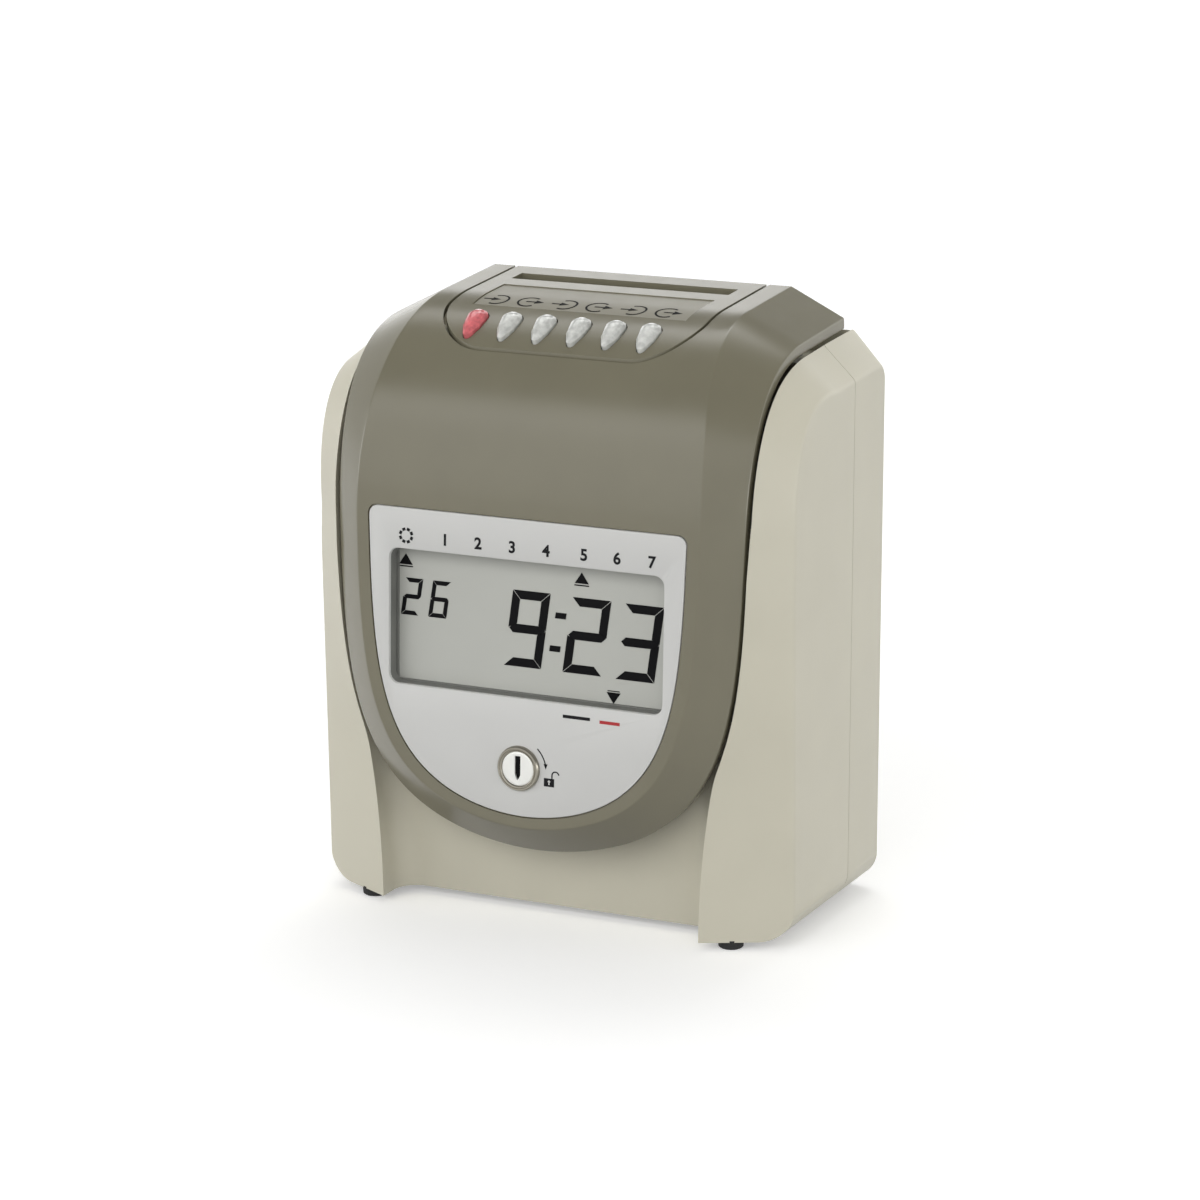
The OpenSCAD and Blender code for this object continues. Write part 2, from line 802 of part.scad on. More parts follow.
// Cam lock; the plug's head lies in a counterbore of the collar
cam_len = 14;
cam_w = 7;
head_r = lock_plug_r + 1;
head_y = -0.6;
module lock_barrel() {
  color(steel)
    centred()
      on_face()
        difference() {
          union() {
            rod_y(lock_collar_r, -lock_collar_h, 0, [lock_x, lock_z]);
            rod_y(lock_body_r, -0.5, lock_len, [lock_x, lock_z]);
          }
          rod_y(lock_plug_r + run_clear, -3, lock_len + 1, [lock_x, lock_z]);
          rod_y(head_r + run_clear, -3, head_y, [lock_x, lock_z]);
        }
}

module lock_nut() {
  color(steel)
    centred()
      on_face()
        translate([lock_x, 0, lock_z])
          difference() {
            xz_plate(cover_t, cover_t + 3)
              circle(r = 10.5, $fn = 6);
            rod_y(lock_body_r, 0, 10, [0, 0]);
          }
}

module lock_plug() {
  color(steel)
    centred()
      on_face()
        difference() {
          union() {
            rod_y(head_r, head_y - 0.7, head_y - run_clear, [lock_x, lock_z]);
            rod_y(lock_plug_r, head_y - 0.5, lock_len + 0.4, [lock_x, lock_z]);
            rod_y(2.5, lock_len, lock_len + 3, [lock_x, lock_z]);
          }
          translate([lock_x - 1.1, -2, lock_z - 4.1])
            cube([2.2, 9, 8.2]);
        }
}

module lock_cam() {
  color(steel)
    centred()
      on_face()
        translate([lock_x, 0, lock_z])
          difference() {
            xz_plate(lock_len + 0.4, lock_len + 2)
              union() {
                circle(r = cam_w / 2 + 1);
                translate([0, -cam_w / 2])
                  square([cam_len, cam_w]);
              }
            rod_y(2.5, 0, lock_len + 4, [0, 0]);
          }
}

module lock_strike() {
  low = lock_z - cam_len - 1;
  high = lock_z - lock_body_r - 0.8;
  front = face_y(low) + lock_len - 2.2;
  color(steel)
    centred()
      difference() {
        yz_bar([[front, low], [front, high], [wall_y(high), high], [wall_y(low), low]],
          lock_x - 9, lock_x + 9);
        box([lock_x - 7.5, front + 1.4, low - 1], [lock_x + 10, wall_foot_y, high + 1]);
      }
}

// Display, carried by the front edges of the side plates
display_y = 6.2;
module display_frame() {
  color(dark)
    centred()
      on_face()
        difference() {
          box([-60, display_y, window_low_z - 6], [60, display_y + 5, window_high_z + 6]);
          box([-window_x + 0.5, display_y - 1, window_low_z + 0.5],
            [window_x - 0.5, display_y + 6, window_high_z - 0.5]);
          box([-window_x - 1.2, display_y + 1.2, window_low_z - 1.2],
            [window_x + 1.2, display_y + 6, window_high_z + 1.2]);
        }
}

module display_glass() {
  color([0.7, 0.71, 0.69])
    centred()
      on_face()
        box([-window_x - 1, display_y + 1.2, window_low_z - 1],
          [window_x + 1, display_y + 3.6, window_high_z + 1]);
}

module display_board() {
  color(board_green)
    centred()
      on_face()
        box([-58, display_y + 5, window_low_z - 4], [58, display_deep, window_high_z + 4]);
}

// Chassis: two side plates on one floor sheet
display_deep = display_y + 6.6;
module chassis_plates() {
  color(steel)
    centred()
      difference() {
        union() {
          mirrored()
            yz_bar([[wall_foot_y + 6, chassis_z], [wall_foot_y + 6, wall_top_z + 6],
              [behind_face(display_deep, board_low_z), board_low_z],
              [behind_face(display_deep, window_high_z + 6), window_high_z + 6],
              [30, plate_high_z - 14], [slot_y - 28.5, plate_high_z],
              [panel_end_y - 0.4, plate_high_z],
              [panel_end_y - 0.4, chassis_z]], plate_gap_x, plate_gap_x + sheet_t);
          box([-plate_gap_x - 0.1, wall_foot_y + 6, chassis_z],
            [plate_gap_x + 0.1, panel_end_y - 0.4, chassis_z + sheet_t]);
        }
        rod_x(bush_r, -big, big, feed_at);
        rod_x(bush_r, -big, big, pinch_at);
        rod_x(bush_r, -big, big, screw_at);
        rod_x(rod_r, -big, big, rod_at);
        rod_x(4, 0, big, feed_pinion_at);
        rod_x(4, -big, 0, carriage_pinion_at);
      }
}

// Card path
nip_gap = 0.5;
chute_front = slot_y - chute_gap / 2;
chute_rear = slot_y + chute_gap / 2;
guide_high_z = top_z - 8;
roller_w = 8;
carriage_half = 9;
print_window_x = carriage_travel + carriage_half + 10;
module guide_windows(y0, y1) {
  mirrored()
    box([feed_roller_x - roller_w / 2 - 1, y0, feed_z - 8],
      [feed_roller_x + roller_w / 2 + 1, y1, feed_z + 8]);
  box([-print_window_x, y0, print_z - 9], [print_window_x, y1, print_z + 9]);
}

module card_guide_front() {
  color(steel)
    centred()
      difference() {
        union() {
          box([-plate_gap_x, chute_front - sheet_t, chute_low_z],
            [plate_gap_x, chute_front, plate_high_z]);
          yz_bar([[chute_front - sheet_t, plate_high_z - 1], [chute_front, plate_high_z - 1],
            [chute_front, guide_high_z - 6], [chute_front - 1.6, guide_high_z],
            [chute_front - sheet_t - 1.6, guide_high_z],
            [chute_front - sheet_t, guide_high_z - 6]], -panel_x + 4, panel_x - 4);
        }
        guide_windows(chute_front - 9, chute_front + 9);
      }
}

module card_guide_rear() {
  color(steel)
    centred()
      difference() {
        union() {
          box([-plate_gap_x, chute_rear, chute_low_z],
            [plate_gap_x, chute_rear + sheet_t, plate_high_z]);
          yz_bar([[chute_rear + sheet_t, plate_high_z - 1], [chute_rear, plate_high_z - 1],
            [chute_rear, guide_high_z - 6], [chute_rear + 1.6, guide_high_z],
            [chute_rear + sheet_t + 1.6, guide_high_z],
            [chute_rear + sheet_t, guide_high_z - 6]], -panel_x + 4, panel_x - 4);
        }
        guide_windows(chute_rear - 9, chute_rear + 9);
      }
}

module card_stop() {
  color(dark)
    centred()
      box([-plate_gap_x, chute_front - 5, chute_low_z - 5],
        [plate_gap_x, chute_rear + 5, chute_low_z]);
}

module platen_bar() {
  color(dark)
    centred()
      union() {
        box([0.5 - print_window_x, chute_rear, print_z - 8.5],
          [print_window_x - 0.5, chute_rear + 5, print_z + 8.5]);
        box([-plate_gap_x, chute_rear + sheet_t, print_z - 6],
          [plate_gap_x, chute_rear + 6, print_z + 6]);
      }
}

// Shafts: each place is Y and Z of an axis along X
rod_r = 2.5;
rod_at = [slot_y - 22.5, print_z - 11];
screw_at = [slot_y - 34.5, print_z - 11];
feed_at = [slot_y - nip_gap / 2 - feed_r, feed_z];
pinch_at = [slot_y + nip_gap / 2 + feed_r, feed_z];
bush_r = 4;
bush_w = 2.4;
gear_x = plate_gap_x + sheet_t + 3;
shaft_end = gear_x + gear_w;
feed_teeth = 24;
pinion_teeth = 12;
screw_teeth = 16;
motor_shaft_r = 1.5;
feed_pinion_at = feed_at - [gear_m * (feed_teeth + pinion_teeth) / 2, 0];
carriage_pinion_at = screw_at - [0, gear_m * (screw_teeth + pinion_teeth) / 2];

// Spur gear in the X-Y plane with straight-sided teeth; a tooth points along +X at turn 0
module spur(teeth, turn, bore) {
  pitch_r = gear_m * teeth / 2;
  tip = pitch_r + 0.85 * gear_m;
  root = pitch_r - 1.2 * gear_m;
  step = 360 / teeth;
  difference() {
    rotate([0, 0, turn])
      linear_extrude(gear_w)
        polygon([for (i = [0:teeth - 1], k = [[root, -0.3], [tip, -0.11], [tip, 0.11],
          [root, 0.3]]) k[0] * [cos((i + k[1]) * step), sin((i + k[1]) * step)]]);
    translate([0, 0, -1])
      cylinder(r = bore, h = gear_w + 2);
  }
}

// The gear's X-Y plane becomes the Y-Z plane of the clock
module gear_at(at, x, teeth, turn, bore) {
  translate([x, at[0], at[1]])
    rotate([90, 0, 90])
      spur(teeth, turn, bore);
}

module shaft_bushes() {
  color([0.8, 0.66, 0.35])
    centred()
      mirrored()
        for (p = [feed_at, pinch_at, screw_at])
          difference() {
            union() {
              rod_x(bush_r, plate_gap_x - 0.6, plate_gap_x + sheet_t, p);
              rod_x(bush_r + 1, plate_gap_x + sheet_t, plate_gap_x + bush_w, p);
            }
            rod_x((p == screw_at ? journal_r : shaft_r) + run_clear, 0, big, p);
          }
}

module feed_shaft() {
  color(steel)
    centred()
      rod_x(shaft_r, -plate_gap_x - bush_w - 1, shaft_end, feed_at);
}

module feed_rollers() {
  color(dark)
    centred()
      mirrored()
        difference() {
          rod_x(feed_r, feed_roller_x - roller_w / 2, feed_roller_x + roller_w / 2, feed_at);
          rod_x(shaft_r, 0, big, feed_at);
        }
}

module feed_gear() {
  color(white)
    centred()
      gear_at(feed_at, gear_x, feed_teeth, 180 + 180 / feed_teeth, shaft_r);
}

module pinch_shaft() {
  color(steel)
    centred()
      rod_x(shaft_r, -plate_gap_x - bush_w - 1, plate_gap_x + bush_w + 1, pinch_at);
}

module pinch_rollers() {
  color(dark)
    centred()
      mirrored()
        difference() {
          rod_x(feed_r, feed_roller_x - roller_w / 2, feed_roller_x + roller_w / 2, pinch_at);
          rod_x(shaft_r, 0, big, pinch_at);
        }
}

// Motors with a bore for the shaft of their pinion
feed_motor_r = gear_m * (feed_teeth + pinion_teeth) / 2 - bush_r - 0.4;
feed_motor_len = 20;
carriage_motor_r = gear_m * (screw_teeth + pinion_teeth) / 2 - bush_r - 0.4;
carriage_motor_len = plate_gap_x - carriage_travel - carriage_half - 2;
module motor(r, len, at) {
  difference() {
    union() {
      rod_x(r, plate_gap_x - len, plate_gap_x, at);
      rod_x(3.9, plate_gap_x - 1, plate_gap_x + sheet_t, at);
    }
    rod_x(motor_shaft_r + run_clear, plate_gap_x - len + 2, big, at);
  }
}

module feed_motor() {
  color(dark)
    centred()
      motor(feed_motor_r, feed_motor_len, feed_pinion_at);
}

module carriage_motor() {
  color(dark)
    centred()
      mirror([1, 0, 0])
        motor(carriage_motor_r, carriage_motor_len, carriage_pinion_at);
}

module motor_pinion() {
  color(white)
    centred()
      union() {
        gear_at(feed_pinion_at, gear_x, pinion_teeth, 0, 0.5);
        rod_x(motor_shaft_r, plate_gap_x - feed_motor_len + 4, shaft_end, feed_pinion_at);
      }
}

module carriage_pinion() {
  color(white)
    centred()
      mirror([1, 0, 0])
        union() {
          gear_at(carriage_pinion_at, gear_x, pinion_teeth, 90, 0.5);
          rod_x(motor_shaft_r, plate_gap_x - carriage_motor_len + 4, shaft_end,
            carriage_pinion_at);
        }
}

journal_r = 2;
module lead_screw() {
  color(steel)
    centred()
      union() {
        rod_x(screw_r, -plate_gap_x + 1.4, plate_gap_x - 1.4, screw_at);
        rod_x(journal_r, -shaft_end, plate_gap_x + bush_w + 1, screw_at);
      }
}

module screw_gear() {
  color(white)
    centred()
      mirror([1, 0, 0])
        gear_at(screw_at, gear_x, screw_teeth, 270 + 180 / screw_teeth, journal_r);
}

module carriage_rod() {
  color(steel)
    centred()
      rod_x(rod_r, -plate_gap_x - sheet_t - 0.8, plate_gap_x + sheet_t + 0.8, rod_at);
}

// Print carriage
head_low_z = print_z - 4;
module carriage() {
  color(dark)
    centred()
      difference() {
        box([-carriage_half, screw_at[0] - 6, screw_at[1] - 6],
          [carriage_half, rod_at[0] + 6, head_low_z]);
        rod_x(screw_r + run_clear, -big, big, screw_at);
        rod_x(rod_r + run_clear, -big, big, rod_at);
      }
}

ribbon_y = chute_front - sheet_t - 1;
module print_head() {
  color([0.3, 0.3, 0.32])
    centred()
      union() {
        box([-8, screw_at[0] - 4, head_low_z], [8, rod_at[0] + 8, print_z + 4]);
        box([-4, rod_at[0] + 7, print_z - 3], [4, ribbon_y - 0.7, print_z + 3]);
      }
}

// Ribbon cartridge, tipped by its rear edge to change the colour
cartridge_low_z = print_z + 6;
cartridge_high_z = print_z + 18;
cartridge_x = 45;
cartridge_front_y = slot_y - 50.5;
pivot_at = [slot_y - 44.5, print_z + 12];
pivot_r = 2;
arm_w = 3.5;
knob_at = [-26, slot_y - 32.5];

module ribbon_cartridge() {
  color(dark)
    centred()
      difference() {
        union() {
          translate([0, 0, cartridge_low_z])
            linear_extrude(cartridge_high_z - cartridge_low_z)
              polygon(round_rect([-cartridge_x, cartridge_front_y],
                [cartridge_x, rod_at[0] + 6], 5));
          mirrored()
            box([cartridge_x - arm_w - 0.5, rod_at[0] + 2, print_z - 6],
              [cartridge_x - 0.5, ribbon_y - 0.4, cartridge_high_z - 2]);
        }
        mirrored()
          rod_x(pivot_r + run_clear, cartridge_x - 3, big, pivot_at);
        translate([knob_at[0], knob_at[1], cartridge_low_z + 3])
          cylinder(r = 2 + run_clear, h = big);
      }
}

module ribbon_band() {
  color([0.35, 0.08, 0.1])
    centred()
      box([-cartridge_x + 0.5, ribbon_y - 0.4, print_z - 5.5],
        [cartridge_x - 0.5, ribbon_y, print_z + 5.5]);
}

module ribbon_knob() {
  color([0.25, 0.45, 0.7])
    centred()
      translate([knob_at[0], knob_at[1], 0])
        difference() {
          union() {
            translate([0, 0, cartridge_low_z + 3.4])
              cylinder(r = 2, h = cartridge_high_z - cartridge_low_z - 2);
            translate([0, 0, cartridge_high_z + 0.3])
              cylinder(r = 7, h = 4.5);
          }
          for (a = [0:30:330])
            rotate([0, 0, a])
              translate([7.6, 0, cartridge_high_z - 1])
                cylinder(r = 1.2, h = 9, $fn = 16);
        }
}

module cartridge_tray() {
  color(steel)
    centred()
      mirrored()
        union() {
          box([cartridge_x + 0.5, pivot_at[0] - 5, pivot_at[1] - 5],
            [plate_gap_x, pivot_at[0] + 5, pivot_at[1] + 5]);
          rod_x(pivot_r, cartridge_x - 2.5, cartridge_x + 1, pivot_at);
        }
}

// Boards and supply
main_board_y = 24;
board_low_z = wall_top_z + 12;
module main_board() {
  color(board_green)
    centred()
      box([-plate_gap_x, main_board_y, board_low_z],
        [plate_gap_x, main_board_y + 1.6, window_high_z + 4]);
}

module board_parts() {
  color(dark)
    centred() {
      y = main_board_y + 1.6;
      for (p = [[-34, 22, 24, 8], [4, 26, 16, 16], [30, 22, 14, 10], [-30, 46, 20, 8]])
        box([p[0], y, board_low_z + p[1]], [p[0] + p[2], y + 2.2, board_low_z + p[1] + p[3]]);
      for (x = [-20, -8, 4, 16])
        rod_y(4, y, y + 12, [x, board_low_z + 10]);
      box([30, y, board_low_z + 52], [46, y + 8, board_low_z + 60]);
    }
}

module buzzer() {
  color(dark)
    centred()
      difference() {
        rod_y(6, main_board_y + 1.6, main_board_y + 9.6, [34, board_low_z + 10]);
        rod_y(1, main_board_y + 7, main_board_y + 10, [34, board_low_z + 10]);
      }
}

supply_z = chassis_z + sheet_t;
core_y = rear_y - 49.5;
module transformer() {
  color([0.35, 0.35, 0.37])
    centred()
      union() {
        box([-46, core_y - 15, supply_z], [-10, core_y + 15, supply_z + 3]);
        box([-42, core_y - 13, supply_z + 3], [-14, core_y + 13, supply_z + 36]);
        box([-36, core_y - 17, supply_z + 10], [-20, core_y + 17, supply_z + 29]);
      }
}

module backup_battery() {
  color([0.25, 0.4, 0.65])
    centred()
      for (k = [0:2])
        rod_y(7, 50, 78, [8 + 14.4 * k, supply_z + 7]);
}

module power_inlet() {
  color(dark)
    centred()
      translate([inlet_x, 0, inlet_z])
        difference() {
          box([-inlet_w / 2, rear_y - 18, -inlet_h / 2], [inlet_w / 2, rear_y, inlet_h / 2]);
          xz_plate(rear_y - 12, rear_y + 1)
            polygon(round_rect([-9, -4.5], [9, 4.5], 4.4));
        }
}

front_casing();
rear_casing();
top_panel();
arrow_label();
base_plate();
rubber_feet();
casing_screws();
chassis_plates();
hinge_brackets();
hinge_pins();
card_guide_front();
card_guide_rear();
card_stop();
platen_bar();
carriage_rod();
main_board();
board_parts();
display_frame();
display_glass();
display_board();
button_board();
button_switches();
transformer();
backup_battery();
buzzer();
power_inlet();
feed_motor();
carriage_motor();
shaft_bushes();
lock_strike();
cartridge_tray();
cover_shell();
faceplate();
lock_barrel();
lock_nut();
lock_plug();
lock_cam();
button_1();
button_2();
button_3();
button_4();
button_5();
button_6();
feed_shaft();
feed_rollers();
feed_gear();
pinch_shaft();
pinch_rollers();
motor_pinion();
carriage();
print_head();
lead_screw();
screw_gear();
carriage_pinion();
ribbon_cartridge();
ribbon_band();
ribbon_knob();
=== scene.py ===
import bmesh
import bpy
import math
from mathutils import Matrix, Vector


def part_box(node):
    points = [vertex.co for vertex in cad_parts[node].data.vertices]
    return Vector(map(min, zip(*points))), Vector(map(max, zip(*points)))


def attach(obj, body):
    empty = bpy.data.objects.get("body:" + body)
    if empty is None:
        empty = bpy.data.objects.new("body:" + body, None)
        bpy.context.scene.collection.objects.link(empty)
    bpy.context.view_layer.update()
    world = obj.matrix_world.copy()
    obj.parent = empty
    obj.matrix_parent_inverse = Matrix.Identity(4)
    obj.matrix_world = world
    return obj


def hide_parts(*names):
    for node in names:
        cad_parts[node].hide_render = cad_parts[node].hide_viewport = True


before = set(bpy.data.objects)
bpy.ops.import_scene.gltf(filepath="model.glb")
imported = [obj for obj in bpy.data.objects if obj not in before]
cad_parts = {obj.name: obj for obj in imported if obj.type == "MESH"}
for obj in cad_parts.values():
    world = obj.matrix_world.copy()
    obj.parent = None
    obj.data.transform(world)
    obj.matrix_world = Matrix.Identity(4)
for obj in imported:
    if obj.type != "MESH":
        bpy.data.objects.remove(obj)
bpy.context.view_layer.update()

# Axes and scale of the drawing, which is in millimetres and degrees
X, Y, Z = range(3)
MM = 0.001
REAR_Y = 110.5
MID_Y = REAR_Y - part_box("rear_casing")[1][Y] / MM


def box_low(node, axis):
    """Where a node of the frame begins along an axis, in the drawing's millimetres."""
    return round(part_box(node)[0][axis] / MM + (MID_Y if axis == Y else 0), 2)


def box_high(node, axis):
    """Where a node of the frame ends along an axis."""
    return round(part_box(node)[1][axis] / MM + (MID_Y if axis == Y else 0), 2)


def box_middle(node, axis):
    return (box_low(node, axis) + box_high(node, axis)) / 2


# Sizes of the casing
SIDE_X = box_high("rear_casing", X)
TOP_Z = box_high("top_panel", Z)
FLOOR_Z = box_low("rear_casing", Z)
CASING_T = 2.4
CASING_BEVEL = 12.5
BASE_R = 12
SEAM_Y = box_high("front_casing", Y)
SEAM_GAP = 0.3

# Line of the face, the shoulder and the top
FACE_LEAN = 0.03
FACE_ZERO_Z = 130
LEAN_ANGLE = math.atan(FACE_LEAN)
FOOT_Z = 150
CREST_Y = 60
CREST_Z = 227
SHOULDER = [(FACE_LEAN * (FOOT_Z - FACE_ZERO_Z), FOOT_Z), (1.9, 192), (19, 224),
            (CREST_Y, CREST_Z)]
ARM_END_Y = box_high("top_panel", Y)
TOP_RUN = (ARM_END_Y - CREST_Y, TOP_Z - CREST_Z)

# Sizes of the cover and its U-shaped outline
COVER_X = 82
COVER_T = 2.4
COVER_GAP = 1.4
BEVEL_W = 13
BEVEL_TOP_W = 20.8
BEVEL_H = 10.5
LIP = 4
WALL_CLEAR = 1.5
U_POWER = 1.935
U_BOTTOM_Z = 30.5
U_RISE = 29.4
U_LOW_SHARE = 0.85
U_RISE_SHARE = 0.211

# Sizes of the top panel, its label and the buttons
PANEL_X = box_high("top_panel", X)
PANEL_FRONT_Y = box_low("top_panel", Y)
PANEL_R = 22
PANEL_T = 2.4
PANEL_GAP = 0.6
SEAM_WEAR = 0.35
SLOT_X = 44.5
SLOT_Y = 84.5
SLOT_W = 9
LABEL_GAP = 0.3
LABEL_X = box_high("arrow_label", X)
LABEL_LOW_Y = box_low("arrow_label", Y)
LABEL_HIGH_Y = box_high("arrow_label", Y)
LABEL_RECESS = 0.6
LABEL_TOP = 0.35
BUTTON_U = 0.76
BUTTON_R = 4
BUTTON_GAP = 0.35
BUTTON_TIP = 10
BUTTON_MID_R = 3.32
TIP_R = 1.4
ROUND_END_Y = 2
BUTTON_X = [box_middle(f"button_{i + 1}", X) for i in range(6)]

# Sizes of the faceplate and its window
PLATE_X = 63.8
PLATE_TOP_Z = 155.8
PLATE_T = 1.2
PLATE_GAP = 0.15
PLATE_WEAR = 0.3
PLATE_CORNER = 3.6
PLATE_STRAIGHT = 22
PLATE_TURN = 40
TUBE_T = 1
TUBE_GAP = 0.3
WINDOW_X = 55
WINDOW_LOW_Z = 90
WINDOW_HIGH_Z = 140.6
WINDOW_R = 3.8
WINDOW_DEEP = 5.5
GLASS_DEPTH = 7.4

# Sizes of the lock
LOCK_X = box_middle("lock_plug", X)
LOCK_Z = 64
LOCK_PLUG_R = 5.4
LOCK_HEAD_R = 6.4
LOCK_BODY_R = 7.2
LOCK_LEN = 16
LOCK_GAP = 0.1

# Sizes of the hinge
HINGE_Y = box_middle("hinge_pins", Y)
HINGE_Z = box_middle("hinge_pins", Z)
LEDGE_Y = 81.8
LEDGE_Z = 205
NOTCH_UP = 5.5
HINGE_X = (57, 64)
HINGE_SPACE_X = (PANEL_X, 68.5)
HINGE_R = 4
HINGE_BORE_R = 2.05

# Reach of the solids that only cut others
CHASSIS_TOP_Z = box_high("chassis_plates", Z)
BIG = 300


# Plane geometry
def mix(a, b, t):
    return a + (b - a) * t


def ease(t):
    t = min(max(t, 0), 1)
    return t * t * (3 - 2 * t)


def unit(v):
    length = math.hypot(*v)
    return [c / length for c in v]


def arc(centre, r, a0, a1, steps):
    turns = [math.radians(mix(a0, a1, i / steps)) for i in range(steps + 1)]
    return [(centre[0] + r * math.cos(a), centre[1] + r * math.sin(a)) for a in turns]


def circle(centre, r, sides):
    return arc(centre, r, 0, 360 - 360 / sides, sides - 1)


def corners(x0, y0, x1, y1):
    return [(x0, y0), (x1, y0), (x1, y1), (x0, y1)]


def round_rect(x0, y0, x1, y1, r, steps=10):
    return (arc((x1 - r, y1 - r), r, 0, 90, steps) + arc((x0 + r, y1 - r), r, 90, 180, steps)
            + arc((x0 + r, y0 + r), r, 180, 270, steps) + arc((x1 - r, y0 + r), r, 270, 360, steps))


def fillet(before, corner, after, r, steps):
    """Points of a round corner between two straight lines."""
    to_before = Vector(before) - Vector(corner)
    to_after = Vector(after) - Vector(corner)
    half = to_before.angle(to_after) / 2
    back = min(r / math.tan(half), to_before.length * 0.49, to_after.length * 0.49)
    start = Vector(corner) + to_before.normalized() * back
    end = Vector(corner) + to_after.normalized() * back
    middle = (to_before.normalized() + to_after.normalized()).normalized()
    centre = Vector(corner) + middle * (back / math.cos(half))
    first = start - centre
    last = end - centre
    points = []
    for i in range(steps + 1):
        t = i / steps
        way = first.normalized().slerp(last.normalized(), t)
        points.append(tuple(centre + way * mix(first.length, last.length, t)))
    return points


def rounded_line(points, radii, steps):
    """An open line whose inner corners are rounded."""
    line = [tuple(points[0])]
    for i in range(1, len(points) - 1):
        line += fillet(points[i - 1], points[i], points[i + 1], radii[i - 1], steps)
    line.append(tuple(points[-1]))
    return line


def even_steps(curve, t0, t1, count):
    """Values of t between t0 and t1 that divide the curve into equal lengths."""
    fine = [mix(t0, t1, i / 600) for i in range(601)]
    places = [curve(t) for t in fine]
    run = [0]
    for i in range(600):
        run.append(run[-1] + math.dist(places[i], places[i + 1]))
    values = []
    k = 0
    for i in range(count + 1):
        goal = run[-1] * i / count
        while k < 599 and run[k + 1] < goal:
            k += 1
        span = run[k + 1] - run[k]
        values.append(mix(fine[k], fine[k + 1], (goal - run[k]) / span if span else 0))
    return values


# Shape of the face, the shoulder and the top
def bezier(t):
    s = 1 - t
    weights = (s ** 3, 3 * t * s * s, 3 * t * t * s, t ** 3)
    return [sum(w * p[k] for w, p in zip(weights, SHOULDER)) for k in (0, 1)]


def slope(t):
    s = 1 - t
    return [s * s * (SHOULDER[1][k] - SHOULDER[0][k])
            + 2 * t * s * (SHOULDER[2][k] - SHOULDER[1][k])
            + t * t * (SHOULDER[3][k] - SHOULDER[2][k]) for k in (0, 1)]


def over(u, depth):
    """Y and Z of a place sunk by depth; u is 0 at the shoulder's foot, 1 at the crest, 2 at the rear."""
    if u <= 1:
        base = bezier(u)
        run = unit(slope(u))
    else:
        base = [SHOULDER[3][0] + (u - 1) * TOP_RUN[0], SHOULDER[3][1] + (u - 1) * TOP_RUN[1]]
        run = unit(TOP_RUN)
    return [base[0] + depth * run[1], base[1] - depth * run[0]]


def face_y(z):
    return FACE_LEAN * (z - FACE_ZERO_Z)


def u_low(inset):
    """Lowest Z of the cover's U-shaped outline, drawn in by inset."""
    return U_BOTTOM_Z + U_LOW_SHARE * inset


def u_span(inset):
    return U_RISE - U_RISE_SHARE * inset


def u_x(z, inset):
    """Half width of that outline at height z."""
    rise = 1 - math.exp(-max(z - u_low(inset), 0) / u_span(inset))
    return (COVER_X - inset) * rise ** (1 / U_POWER)


def u_place(a, inset):
    """The outline's point at a: 0 degrees is its lowest point, near 90 its straight side."""
    share = math.sin(math.radians(a))
    return ((COVER_X - inset) * share,
            u_low(inset) - u_span(inset) * math.log(1 - max(share, 0) ** U_POWER))


def u_angle(z, inset):
    """The angle for u_place that gives height z."""
    rise = 1 - math.exp(-(z - u_low(inset)) / u_span(inset))
    return math.degrees(math.asin(rise ** (1 / U_POWER)))


U_SIDE = u_angle(FOOT_Z, 0)


def on_face(x, y, z):
    """From the leaning face's own axes, Y running into it, to the drawing's."""
    dz = z - FACE_ZERO_Z
    return (x, y * math.cos(LEAN_ANGLE) + dz * math.sin(LEAN_ANGLE),
            FACE_ZERO_Z + dz * math.cos(LEAN_ANGLE) - y * math.sin(LEAN_ANGLE))


SLOPE_ORIGIN = over(BUTTON_U, 0)
SLOPE_TILT = math.atan2(slope(BUTTON_U)[1], slope(BUTTON_U)[0])


def on_slope(x, y, z):
    """From the slope under the buttons, Z standing out of it, to the drawing's axes."""
    return (x, SLOPE_ORIGIN[0] + y * math.cos(SLOPE_TILT) - z * math.sin(SLOPE_TILT),
            SLOPE_ORIGIN[1] + y * math.sin(SLOPE_TILT) + z * math.cos(SLOPE_TILT))


def as_drawn(x, y, z):
    return (x, y, z)


# Mesh helpers
def new_piece(name, points, faces):
    mesh = bpy.data.meshes.new(name)
    mesh.from_pydata([(x * MM, (y - MID_Y) * MM, z * MM) for x, y, z in points], [], faces)
    mesh.validate()
    piece = bpy.data.objects.new(name, mesh)
    bpy.context.scene.collection.objects.link(piece)
    tidy_mesh(piece)
    return piece


def tidy_mesh(piece):
    """Joins doubled points and turns all faces outward."""
    work = bmesh.new()
    work.from_mesh(piece.data)
    bmesh.ops.remove_doubles(work, verts=work.verts, dist=1e-6)
    bmesh.ops.dissolve_degenerate(work, edges=work.edges, dist=1e-7)
    bmesh.ops.recalc_face_normals(work, faces=work.faces)
    work.to_mesh(piece.data)
    work.free()


def loft(name, rings, capped=True):
    """A solid through rings with the same number of points; capped closes its last ring too."""
    n = len(rings[0])
    m = len(rings)
    points = [p for ring in rings for p in ring]
    faces = [(j * n + i, j * n + (i + 1) % n, (j + 1) * n + (i + 1) % n, (j + 1) * n + i)
             for j in range(m - 1) for i in range(n)]
    faces.append(tuple(range(n - 1, -1, -1)))
    if capped:
        faces.append(tuple((m - 1) * n + i for i in range(n)))
    return new_piece(name, points, faces)


def prism(name, outline, y0, y1, place=as_drawn):
    """An outline in X and Z, drawn out along Y."""
    return loft(name, [[place(x, y, z) for x, z in outline] for y in (y0, y1)])


